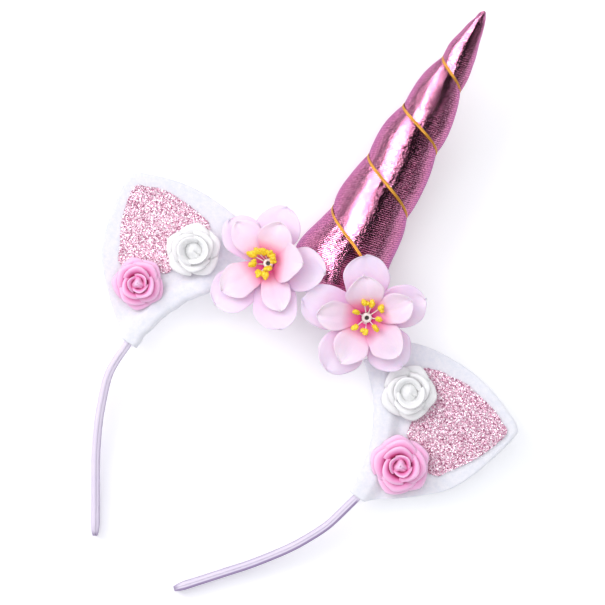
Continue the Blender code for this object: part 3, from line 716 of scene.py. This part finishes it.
def foam_petal(radius, height, layer, a0, dice):
    """Sheet of foam bent round the bud; its rim comes to a soft point and rolls outwards."""
    foot, rim, tall, half, _, curl = layer
    across, up = FOAM_ACROSS, FOAM_UP
    points = []
    rise, slip = dice.uniform(0.90, 1.06), dice.uniform(0.03, 0.09)
    point = 0.17 if rim > 0.55 else 0.13
    for j in range(up + 1):
        v = j / up
        for i in range(across + 1):
            u = -1 + 2 * i / across
            a = a0 + radians(half) * u * (0.70 + 0.30 * sin(min(v * 1.3, 1.0) * pi / 2))
            r = foot + (rim - foot) * v ** 1.25 + slip * u * (0.3 + 0.7 * v)
            r += point * rim * v * v * ((1 - abs(u)) ** 1.2 - 0.45)
            if v > 0.7:
                r += curl * ((v - 0.7) / 0.3) ** 1.6 * (1 - 0.5 * abs(u))
            z = tall * rise * sin(v * pi / 2) ** 0.8 * (1 - 0.30 * abs(u) ** 2.2 * v)
            if v > 0.8:
                z -= 0.55 * max(curl, 0.0) * ((v - 0.8) / 0.2) ** 2
            points.append((radius * r * cos(a), radius * r * sin(a), height * max(z, 0.02)))
    return points, grid_faces(up + 1, across + 1)


def foam_bud(radius, height, rolled):
    """Middle of the rose: a three-sided bud, or a broad cone."""
    points, steps = [], BUD_ROUND
    for j in range(BUD_UP + 1):
        v = j / BUD_UP
        for i in range(steps + 1):
            s = i / steps
            a = 2 * pi * s
            if rolled:
                r = radius * 0.23 * (1.02 - v ** 4) ** 0.6 * (1 + 0.22 * cos(3 * a))
            else:
                r = radius * 0.47 * (1.001 - v ** 1.2) ** 0.7 * (1 + 0.09 * cos(2 * a + 3 * v))
            points.append((r * cos(a), r * sin(a), height * (0.94 + 0.12 * rolled) * v))
    return points, grid_faces(BUD_UP + 1, steps + 1)


def make_roses(look):
    foams = []
    for name, base, deep, light, glow in (
            ("white_foam", look.white, (0.90, 0.90, 0.90), (0.96, 0.96, 0.95), 0.35),
            ("pink_foam", look.pink, (0.72, 0.05, 0.30), (1.0, 0.62, 0.86), 0.15)):
        foam = Shade(name, base, 0.55, Subsurface_Weight=glow, Subsurface_Scale=0.0015,
                     Sheen_Weight=0.12)
        foam.shader.inputs["Subsurface Radius"].default_value = (1.0, 1.0, 1.0)
        # painted shade and highlight: the foam is darker low in the bud and petals, in the recesses, and
        # lighter at each petal's top edge
        foam.colour(foam.ramp(foam.mark("rim"), (0.05, deep), (0.55, base), (1.0, light)))
        foam.bump(foam.noise(2400, 4, 0.6), 0.18, 0.0001)
        foams.append(foam.mat)
    for index, (node, (spin, pink)) in enumerate(ROSES.items()):
        seat, radius, height = rose_seat(node)
        dice = random.Random(40 + index)
        points, faces = foam_bud(radius, height, pink)
        # mark for the painted shade and rim highlight: 0 low in the bud and petals, 1 at the top
        painted_shade_and_rim_light = [j / BUD_UP for j in range(BUD_UP + 1) for _ in range(BUD_ROUND + 1)]
        for k, layer in enumerate(ROSE_LAYERS[pink]):
            for petal in range(layer[4]):
                a0 = radians(spin + 47 * k) + 2 * pi * petal / layer[4] + dice.uniform(-0.20, 0.20)
                add_part(points, faces, foam_petal(radius, height, layer, a0, dice))
                painted_shade_and_rim_light += [max(j / FOAM_UP - 0.45, 0.0) / 0.55 for j in range(FOAM_UP + 1)
                         for _ in range(FOAM_ACROSS + 1)]
        local = np.array(points) + np.array(seat) + (0, 0, CLEAR)
        obj = make_object("foam_" + node, placed(local), faces, marks={"rim": painted_shade_and_rim_light})
        obj.data.materials.append(foams[pink])
        thicken(obj, look.thickness, 1)
        settle_in(obj, "pink_foam" if pink else "white_foam", node)


# Flowers
def flower_place(side):
    sign, angle, out, height, tilt, bearing = FLOWERS[side]
    point, normal = arch_station(angle, sign)
    x, y = point + normal * EAR_REACH * out
    b = radians(bearing)
    axis = Vector((-sin(b), cos(b), 0))
    return PLANE @ Matrix.Translation((x, y, HORN_RADIUS * height)) @ Matrix.Rotation(
        radians(tilt), 4, axis)


def petal_points(reach, width, cup, point, dice):
    """One petal along +X: a narrow claw, a round blade, and a rim that lies a little wavy."""
    up, across, start = 28, 20, 2.2 * MM
    centre = reach - width / 2
    points, uvs, hearts = [], [], []
    wave, twist, crease = dice.uniform(0, 6), dice.uniform(-0.9, 0.9), dice.uniform(-0.25, 0.25)
    for j in range(up + 1):
        v = 1 - (1 - j / up) ** 1.6
        r = start + (reach - start) * v
        if r > centre:
            half = sqrt(max((width / 2) ** 2 - (r - centre) ** 2, 0.0))
            half *= 1 - point * 0.42 * ((r - centre) / (width / 2)) ** 1.5
        else:
            t = (r - start) / (centre - start)
            half = CLAW_HALF + (width / 2 - CLAW_HALF) * sin(t * pi / 2) ** 0.9
        for i in range(across + 1):
            u = -1 + 2 * i / across
            share = r / reach
            rise = sin(min(max(share - 0.12, 0) / 0.88, 1) * pi * 0.62)
            z = cup * (rise + 0.34 * u * u * share)
            z += 0.80 * MM * u * share * twist
            z -= (0.22 + 0.28 * point) * MM * share * max(0.0, 1 - abs(u - crease) * 2.2)
            z += 0.45 * MM * share * share * sin(u * 5.0 + wave) * abs(u)
            z += 0.30 * MM * noise.noise(Vector((r * 190, u * 2.6, wave)))
            side = half * u * (1 + 0.12 * noise.noise(Vector((share * 4, u * 1.5, wave))))
            tip = 1 + 0.035 * noise.noise(Vector((u * 2.2, wave, 5.0))) * share
            points.append((r * tip, side, z))
            uvs.append((u * 0.5 + 0.5, share))
            hearts.append(share)
    return points, grid_faces(up + 1, across + 1), uvs, hearts


def petal_layer(name, matrix, sizes, rows, base, seed):
    reach, width, cup, point = sizes
    dice = random.Random(seed)
    points, faces, uvs, hearts = [], [], [], []
    for k, (bearing, reach_share, width_share, cup_share) in enumerate(rows):
        more, sides, uv, heart = petal_points(reach * reach_share, width * width_share,
                                              cup * cup_share, point, dice)
        turn = Matrix.Rotation(radians(bearing), 4, "Z")
        lift = Vector((0, 0, base + 0.12 * MM * (k % 2)))
        add_part(points, faces, ([tuple(turn @ Vector(p) + lift) for p in more], sides))
        uvs += uv
        hearts += heart
    return make_object(name, placed(points, matrix), faces, uvs, {"heart": hearts})


def petal_cloth(name, stops):
    cloth = Shade(name, stops[-1][1], 0.72, Sheen_Weight=0.30, Subsurface_Weight=0.15,
                  Subsurface_Scale=0.002, Specular_IOR_Level=0.3)
    tint = cloth.ramp(cloth.mark("heart"), *stops)
    mottle = cloth.ramp(cloth.noise(110, 3), (0.3, (0.93, 0.88, 0.97)), (0.7, (1, 1, 1)))
    cloth.colour(cloth.blend(tint, mottle, 0.7))
    veins = cloth.noise(1.0, 3, 0.5, uv=True, stretch=(34.0, 2.2, 1.0))
    cloth.bump(veins, 0.35, 0.0003)
    cloth.bump(cloth.noise(3000, 2), 0.12, 0.0001)
    return cloth.mat


def tube(path, radii, sides=8):
    """Closed round tube along a path of points, with a radius for each."""
    points = []
    for i, centre in enumerate(path):
        along = (path[min(i + 1, len(path) - 1)] - path[max(i - 1, 0)]).normalized()
        side = along.orthogonal().normalized()
        other = along.cross(side)
        for k in range(sides):
            a = 2 * pi * k / sides
            points.append(tuple(centre + radii[i] * (side * cos(a) + other * sin(a))))
    faces = grid_faces(len(path), sides, wrap=True)
    top = (len(path) - 1) * sides
    return points, faces + [tuple(range(sides)), tuple(range(top, top + sides))]


def anther(middle, along, length, seed):
    """Grainy two-lobed anther."""
    side_way, half = along.orthogonal().normalized(), length / 2
    other = along.cross(side_way)
    points, rings, round_ = [], 15, 16
    for i in range(rings):
        b = pi * i / (rings - 1)
        for j in range(round_):
            c = 2 * pi * j / round_
            r = 1.15 * MM * sin(b) ** 0.7 * (1 + 0.30 * cos(2 * c))
            p = along * (-cos(b) * half) + (side_way * cos(c) + other * sin(c)) * r
            p *= 1 + 0.34 * noise.noise(p * 1500 + Vector((seed, 0, 0)))
            points.append(tuple(middle + p))
    return points, grid_faces(rings, round_, wrap=True)


def make_stamens(side, matrix, look, mats, base):
    """Pale pierced hub, its hole's floor painted black as shade; thin filaments; grainy yellow anthers."""
    points, faces, paint = [], [], []

    def gather(part, mat):
        add_part(points, faces, part)
        paint.extend([mat] * len(part[1]))

    profile = ((1.05, 0.5), (1.05, 1.5), (1.25, 1.75), (1.7, 1.8), (2.2, 1.5), (2.4, 0.8),
               (2.3, 0.0))
    hub = [(r * MM * cos(2 * pi * k / 24), r * MM * sin(2 * pi * k / 24), base + z * MM)
           for r, z in profile for k in range(24)]
    gather((hub, grid_faces(len(profile), 24, wrap=True)), 0)
    # painted shade: a near-black disk closes the hub's hole a little below its top
    gather(([(p[0], p[1], base + 0.5 * MM) for p in hub[:24]], [tuple(range(24))]), 2)
    for k, (bearing, reach, rise) in enumerate(STAMENS[side]):
        a = radians(bearing)
        out = Vector((cos(a), sin(a), 0))
        start = out * 1.9 * MM + Vector((0, 0, base + 1.1 * MM))
        end = out * reach * MM + Vector((0, 0, base + (1.1 + rise) * MM))
        knee = (start + end) / 2 + Vector((0, 0, 0.9 * MM)) - out * 0.3 * MM
        way = [start.lerp(knee, t).lerp(knee.lerp(end, t), t) for t in (0, .2, .4, .6, .8, 1)]
        gather(tube(way, [0.26 * MM] * 6, 6), 0)
        along = (way[-1] - way[-2]).normalized()
        length = look.anther * (0.90 + 0.22 * ((k * 7) % 3) / 2) * (1.2 if side == "left" else 1.0)
        gather(anther(way[-1] - along * length * 0.25, along, length, k), 1)
        if side == "left" or k % 3 == 0:
            aside = along.cross(Vector((0, 0, 1))).normalized() * 1.2 * MM
            gather(anther(way[-1] - along * length * 0.42 + aside, along, length * 0.62, k + 20), 1)
    obj = make_object("stamens_" + side, placed(points, matrix), faces)
    for mat in mats:
        obj.data.materials.append(mat)
    obj.data.polygons.foreach_set("material_index", paint)
    outward(obj)
    return obj


def make_flowers(look):
    pale, deep = (0.92, 0.80, 0.92), (0.86, 0.05, 0.28)
    outer = petal_cloth("outer_petal_cloth", ((0.10, (0.93, 0.45, 0.68)), (0.38, (0.90, 0.62, 0.82)),
                                              (0.70, (0.92, 0.74, 0.88)), (1.0, pale)))
    inner = petal_cloth("inner_petal_cloth", ((0.14, deep), (0.30, (0.93, 0.28, 0.50)),
                                              (0.50, (0.96, 0.68, 0.82)), (1.0, (0.97, 0.84, 0.92))))
    filament = Shade("pale_filament", (0.90, 0.84, 0.80), 0.45)
    filament.bump(filament.noise(1500, 2), 0.1, 0.0001)
    pollen = Shade("yellow_anther", (1.0, 0.72, 0.01), 0.65, Subsurface_Weight=0.1,
                   Subsurface_Scale=0.001)
    pollen.colour(pollen.ramp(pollen.noise(1500, 4), (0.35, (0.95, 0.52, 0.0)), (0.60, (1.0, 0.80, 0.02))))
    pollen.bump(pollen.noise(2600, 3), 0.5, 0.0003)
    # painted shade: near-black colour for the floor of the hub's hole
    hole = Shade("hub_hole_painted_shade", (0.05, 0.04, 0.04), 0.8)
    hole.bump(hole.noise(900, 2), 0.1, 0.0001)
    stem = Shade("calyx_cloth", (0.84, 0.80, 0.84), 0.7, Sheen_Weight=0.2)
    stem.bump(stem.noise(900, 3), 0.3, 0.0002)
    for index, side in enumerate(("left", "right")):
        matrix = flower_place(side)
        off_x, off_y = HEART_OFF[side]
        heart_place = matrix @ Matrix.Translation((off_x, off_y, 0))
        name = "flower_" + side
        for kind, sizes, rows, base, mat in (
                ("outer", (FLOWER_RADIUS, PETAL_WIDTH, PETAL_CUP, 0.0), OUTER_PETALS[side],
                 -0.5 * MM, outer),
                ("inner", (INNER_RADIUS, INNER_WIDTH, INNER_CUP, 0.62), INNER_PETALS[side],
                 1.2 * MM, inner)):
            place = heart_place if kind == "inner" else matrix
            obj = petal_layer(f"{kind}_petals_{side}", place, sizes, rows, base,
                              20 + index * 2 + (kind == "inner"))
            obj.data.materials.append(mat)
            thicken(obj, look.thickness)
            settle_in(obj, f"{kind}_petal_cloth", f"{name}_{kind}_petals")
        inverse = PLANE.inverted()
        node = frame["nodes"][name + "_outer_petals"]
        local = [inverse @ node.matrix_world @ v.co for v in node.data.vertices]
        bottom = min(local, key=lambda p: p.z)
        ground = [p for p in local if p.z < bottom.z + 0.1 * MM]
        stand = sum(ground, Vector()) / len(ground)
        heart = inverse @ matrix @ Vector((0, 0, -0.4 * MM))
        way = [stand.lerp(heart, t / 8) for t in range(9)]
        part = tube(way, [(2.4 + 1.3 * (t / 8) ** 2.2) * MM for t in range(9)], 20)
        calyx = make_object("calyx_" + side, placed(part[0]), part[1])
        outward(calyx)
        calyx.data.materials.append(stem.mat)
        settle_in(calyx, "outer_petal_cloth")
        stamens = make_stamens(side, heart_place, look, (filament.mat, pollen.mat, hole.mat), 1.9 * MM)
        settle_in(stamens, "stamen_plastic", name + "_stamens")


# Horn and cord
TURNS, SHARES = np.array(TURN_ROWS).T


def horn_radius(share, turn):
    waist = (HORN_RADIUS - HORN_PUFF) * smooth(HORN_ROWS, 1, share)
    here = float(np.interp(share, SHARES, TURNS))
    phase = (here - turn) % 1.0
    nearest = here - phase + (phase > 0.5)
    depth = min(max((nearest - CORD_TURNS[0]) / GROOVE_START, 0.0), 1.0)
    fade = min(share / 0.14, 1.0) * min((1.0 - share) / 0.03, 1.0)
    swell = 1 - depth * (1 - max(sin(pi * phase), 0.0) ** 0.7)
    return waist + HORN_PUFF * fade * swell, phase, depth


def horn_matrix():
    a, b = ARCH_A + BAND_THICK / 2, ARCH_B + BAND_THICK / 2
    slope = tan(radians(HORN_LEAN))
    height = sqrt(b * b + (slope * a) ** 2) - slope * HORN_OFFSET + CLEAR * sqrt(1 + slope * slope)
    return PLANE @ Matrix.Translation((-HORN_OFFSET, height, 0)) @ Matrix.Rotation(
        radians(HORN_LEAN), 4, "Z")


def make_horn(look):
    rows, columns = 440, 168
    points, uvs = [], []
    for i in range(rows + 1):
        share = i / rows
        for j in range(columns + 1):
            turn = j / columns
            radius, phase, depth = horn_radius(share, turn % 1.0)
            near = min(phase, 1 - phase)
            a = 2 * pi * turn
            key = Vector((sin(a) * 2.3, cos(a) * 2.3, share * 9))
            pleat = noise.noise(Vector((sin(a) * 9.5, cos(a) * 9.5, share * 7)))
            radius += look.gather * pleat * depth * max(0.0, 1 - near / 0.24)
            radius += HORN_LUMP * noise.noise(key) * min(share / 0.2, 1) * min((1 - share) / 0.08, 1)
            radius += TIP_PUFF * np.exp(-((share - TIP_PUFF_SHARE) / TIP_PUFF_SPREAD) ** 2)
            pinch = max(1 - share / 0.06, 0.0) * min(share / 0.008, 1)
            radius += TIP_PINCH * pinch * sin(3 * a + share * 90)
            points.append((radius * sin(a), HORN_LENGTH * (1 - share), radius * cos(a)))
            uvs.append((turn * 2 * pi * HORN_RADIUS * (0.25 + 0.75 * share), share * HORN_LENGTH))
    width = columns + 1
    faces = grid_faces(rows + 1, width)
    tip, foot = len(points), len(points) + 1
    points += [(0, HORN_LENGTH + 0.4 * MM, 0), (0, 0, 0)]
    uvs += [(0, 0), (0, HORN_LENGTH)]
    faces += [(j, j + 1, tip) for j in range(columns)]
    faces += [(rows * width + j, rows * width + j + 1, foot) for j in range(columns)]
    world = placed(points, horn_matrix())
    world[:, 2] = world[:, 2].clip(FLOOR_GAP)          # the patch that it lies on
    obj = make_object("knit_horn", world, faces, uvs)
    outward(obj, merge=1e-7)
    knit = Shade("metallic_knit", look.lame, 0.2, Metallic=1.0)
    knit.shader.inputs["Specular Tint"].default_value = (0.80, 0.52, 0.86, 1)
    rows = knit.ramp(knit.wave(310, 1.4, "Y", 12), (0.15, (0.50, 0.38, 0.46)), (0.6, (1, 1, 1)))
    ground = knit.ramp(knit.noise(1150, 4, 0.8), (0.38, look.dark), (0.54, look.lame))
    knit.colour(knit.blend(ground, rows, 0.8))
    knit.rough(knit.noise(1100, 3, 0.7), 0.12, 0.30)
    knit.bump(knit.wave(310, 1.4, "Y", 12), 0.50, 0.00020)
    knit.bump(knit.noise(1250, 4, 0.8), 0.32, 0.00034)
    knit.bump(knit.noise(640, 3, 0.7), 0.33, 0.0007)
    knit.bump(knit.noise(360, 3, 0.6), 0.25, 0.0008)
    obj.data.materials.append(knit.mat)
    settle_in(obj, "lame", "horn")


def make_cord(look):
    """Two gold strands side by side in the groove, each wound with fine thread."""
    first, last = CORD_TURNS
    steps, matrix = 900, horn_matrix()
    centres = []
    for i in range(steps + 1):
        turn = first + (last - first) * i / steps
        share = float(np.interp(turn, TURNS, SHARES))
        radius = horn_radius(share, turn % 1.0)[0] + look.strand * 0.40
        a = 2 * pi * turn
        centres.append(Vector((radius * sin(a), HORN_LENGTH * (1 - share), radius * cos(a))))
    points, faces, uvs, edge = [], [], [], []
    for strand in (-1, 1):
        start, run, sides = len(points), 0.0, 8
        for i, centre in enumerate(centres):
            ahead, behind = centres[min(i + 1, steps)], centres[max(i - 1, 0)]
            along = (ahead - behind).normalized()
            out = Vector((centre.x, 0, centre.z)).normalized()
            out = (out - along * out.dot(along)).normalized()
            across = along.cross(out)
            run += (centre - behind).length
            middle = centre + across * look.strand * 0.46 * strand
            for k in range(sides):
                b = 2 * pi * k / sides
                points.append(middle + look.strand / 2 * (out * cos(b) + across * sin(b)))
                uvs.append((run, k / sides * 0.002))
                # painted shade: the mark grows towards each strand's sides, where it meets the other
                # strand and the knit
                edge.append(abs(sin(b)))
        faces += grid_faces(steps + 1, sides, wrap=True, start=start)
        faces += [tuple(start + k for k in range(sides)),
                  tuple(start + steps * sides + k for k in range(sides))]
    world = placed(points, matrix)
    world[:, 2] = world[:, 2].clip(0.03 * MM)
    obj = make_object("gold_cord", world, faces, uvs, {"edge": edge})
    outward(obj)
    gold = Shade("gold_thread", (0.95, 0.50, 0.05), 0.34, Metallic=0.45)
    thread = gold.ramp(gold.wave(400, 0.3), (0.30, (0.62, 0.22, 0.02)), (0.50, (1.0, 0.55, 0.06)))
    # painted shade: the strands' sides are coloured dark brown, for the shade between the two strands and
    # beside the cord
    line = gold.ramp(gold.mark("edge"), (0.60, (1, 1, 1)), (0.95, (0.20, 0.05, 0.02)))
    gold.colour(gold.blend(thread, line, 1.0))
    gold.bump(gold.wave(560, 0.3), 0.5, 0.0002)
    obj.data.materials.append(gold.mat)
    settle_in(obj, "gold_thread", "horn_cord")


# Stage
# middle of the photograph in the band's plane, and its right and up there
VIEW_CENTRE = Vector((-7.5 * MM, 60.8 * MM, 0))
VIEW_RIGHT, VIEW_UP = Vector((0.829, 0.559, 0)), Vector((-0.559, 0.829, 0))


def area_light(name, place, target, size, power, colour=(1, 1, 1), glossy=True, diffuse=True):
    light = bpy.data.lights.new(name, "AREA")
    light.shape = "RECTANGLE"
    light.size, light.size_y = size
    light.energy, light.color = power, colour
    obj = bpy.data.objects.new(name, light)
    bpy.context.scene.collection.objects.link(obj)
    back = (place - target).normalized()
    across = (PLANE.to_3x3() @ Vector((0, 1, 0))).cross(back).normalized()
    turn = Matrix((across, back.cross(across), back)).transposed()
    obj.matrix_world = Matrix.Translation(place) @ turn.to_4x4()
    obj.visible_glossy, obj.visible_diffuse = glossy, diffuse
    return obj


def make_stage(look):
    half = 2.5
    floor = make_object("floor", [(-half, -half, -0.0005), (half, -half, -0.0005),
                                  (half, half, -0.0005), (-half, half, -0.0005)], [(0, 1, 2, 3)])
    pale = Shade("pale_floor", (0.93, 0.93, 0.94), 0.85, Specular_IOR_Level=0.1, Emission_Strength=0.20)
    pale.colour(pale.ramp(pale.noise(3, 2), (0.3, (0.92, 0.92, 0.93)), (0.7, (0.94, 0.94, 0.95))))
    floor.data.materials.append(pale.mat)
    turn = PLANE.to_3x3()
    centre = PLANE @ VIEW_CENTRE
    horn = PLANE @ Vector((-5 * MM, 130 * MM, 0))
    right, up, front = turn @ VIEW_RIGHT, turn @ VIEW_UP, turn @ Vector((0, 0, 1))
    camera = bpy.data.cameras.new("camera")
    camera.sensor_width = 36.0
    camera.lens = 36.0 * look.distance / look.width
    obj = bpy.data.objects.new("camera", camera)
    bpy.context.scene.collection.objects.link(obj)
    obj.matrix_world = Matrix.Translation(centre + front * look.distance) @ Matrix(
        (right, up, front)).transposed().to_4x4()
    bpy.context.scene.camera = obj

    def round_horn(degrees, distance):
        a = radians(degrees)
        return horn + turn @ Vector((sin(a), 0, cos(a))) * distance

    area_light("key_strip", round_horn(-37, 1.2), horn, (0.44, 1.6), 40.0, diffuse=False)
    area_light("right_strip", round_horn(54, 1.3), horn, (0.20, 1.2), 2.0, (1.0, 0.90, 0.96),
               diffuse=False)
    area_light("left_window", centre + front * 1.1 - right * 1.0 + up * 0.7, centre, (0.8, 0.8),
               9.5, (1.0, 0.95, 0.98), glossy=False)
    area_light("overhead", centre + front * 1.7 + up * 0.3, centre, (1.6, 1.6), 15.0,
               (0.97, 0.98, 1.0), glossy=False)
    world = bpy.data.worlds.new("soft_room")
    bpy.context.scene.world = world
    world.use_nodes = True
    nodes, link = world.node_tree.nodes, world.node_tree.links.new
    back = nodes["Background"]
    back.inputs["Color"].default_value = (0.93, 0.95, 1.0, 1)
    back.inputs["Strength"].default_value = 0.50
    dark = nodes.new("ShaderNodeBackground")
    dark.inputs["Color"].default_value = (0.5, 0.4, 0.55, 1)
    dark.inputs["Strength"].default_value = 0.02
    path, mix = nodes.new("ShaderNodeLightPath"), nodes.new("ShaderNodeMixShader")
    link(path.outputs["Is Glossy Ray"], mix.inputs["Fac"])
    link(back.outputs["Background"], mix.inputs[1])
    link(dark.outputs["Background"], mix.inputs[2])
    link(mix.outputs["Shader"], nodes["World Output"].inputs["Surface"])
    bpy.context.scene.view_settings.view_transform = "Standard"


# Operators
class HEADBAND_OT_band(bpy.types.Operator):
    """Wrap the band in satin ribbon"""
    bl_idname = "headband.band"
    bl_label = "Satin Band"

    def execute(self, context):
        make_band(context.scene.headband_band)
        return {"FINISHED"}


class HEADBAND_OT_ears(bpy.types.Operator):
    """Make the felt ears, their loose fibres and their glitter panels"""
    bl_idname = "headband.ears"
    bl_label = "Felt Ears"

    def execute(self, context):
        make_ears(context.scene.headband_ears)
        return {"FINISHED"}


class HEADBAND_OT_roses(bpy.types.Operator):
    """Make the four foam roses"""
    bl_idname = "headband.roses"
    bl_label = "Foam Roses"

    def execute(self, context):
        make_roses(context.scene.headband_roses)
        return {"FINISHED"}


class HEADBAND_OT_flowers(bpy.types.Operator):
    """Make both cloth flowers with their stamens and calyxes"""
    bl_idname = "headband.flowers"
    bl_label = "Cloth Flowers"

    def execute(self, context):
        make_flowers(context.scene.headband_flowers)
        return {"FINISHED"}


class HEADBAND_OT_horn(bpy.types.Operator):
    """Make the stuffed knit horn and the gold cord in its groove"""
    bl_idname = "headband.horn"
    bl_label = "Horn and Cord"

    def execute(self, context):
        make_horn(context.scene.headband_horn)
        make_cord(context.scene.headband_horn)
        return {"FINISHED"}


class HEADBAND_OT_stage(bpy.types.Operator):
    """Lay the floor and set the lights and the camera"""
    bl_idname = "headband.stage"
    bl_label = "Stage"

    def execute(self, context):
        make_stage(context.scene.headband_stage)
        return {"FINISHED"}


class HEADBAND_PT_panel(bpy.types.Panel):
    bl_label = "Headband"
    bl_idname = "HEADBAND_PT_panel"
    bl_space_type = "VIEW_3D"
    bl_region_type = "UI"
    bl_category = "Headband"

    def draw(self, context):
        for operator in OPERATORS:
            self.layout.operator(operator.bl_idname)


OPERATORS = (HEADBAND_OT_band, HEADBAND_OT_ears, HEADBAND_OT_roses, HEADBAND_OT_flowers,
             HEADBAND_OT_horn, HEADBAND_OT_stage)
LOOKS = {"headband_band": BandLook, "headband_ears": EarLook, "headband_roses": RoseLook,
         "headband_flowers": FlowerLook, "headband_horn": HornLook, "headband_stage": StageLook}


def register():
    for name, group in LOOKS.items():
        bpy.utils.register_class(group)
        setattr(bpy.types.Scene, name, PointerProperty(type=group))
    for operator in OPERATORS:
        bpy.utils.register_class(operator)
    bpy.utils.register_class(HEADBAND_PT_panel)


def unregister():
    bpy.utils.unregister_class(HEADBAND_PT_panel)
    for operator in reversed(OPERATORS):
        bpy.utils.unregister_class(operator)
    for name, group in LOOKS.items():
        delattr(bpy.types.Scene, name)
        bpy.utils.unregister_class(group)


def main():
    register()
    bpy.ops.headband.band()
    bpy.ops.headband.ears()
    bpy.ops.headband.roses()
    bpy.ops.headband.flowers()
    bpy.ops.headband.horn()
    bpy.ops.headband.stage()


if __name__ == "__main__":
    main()
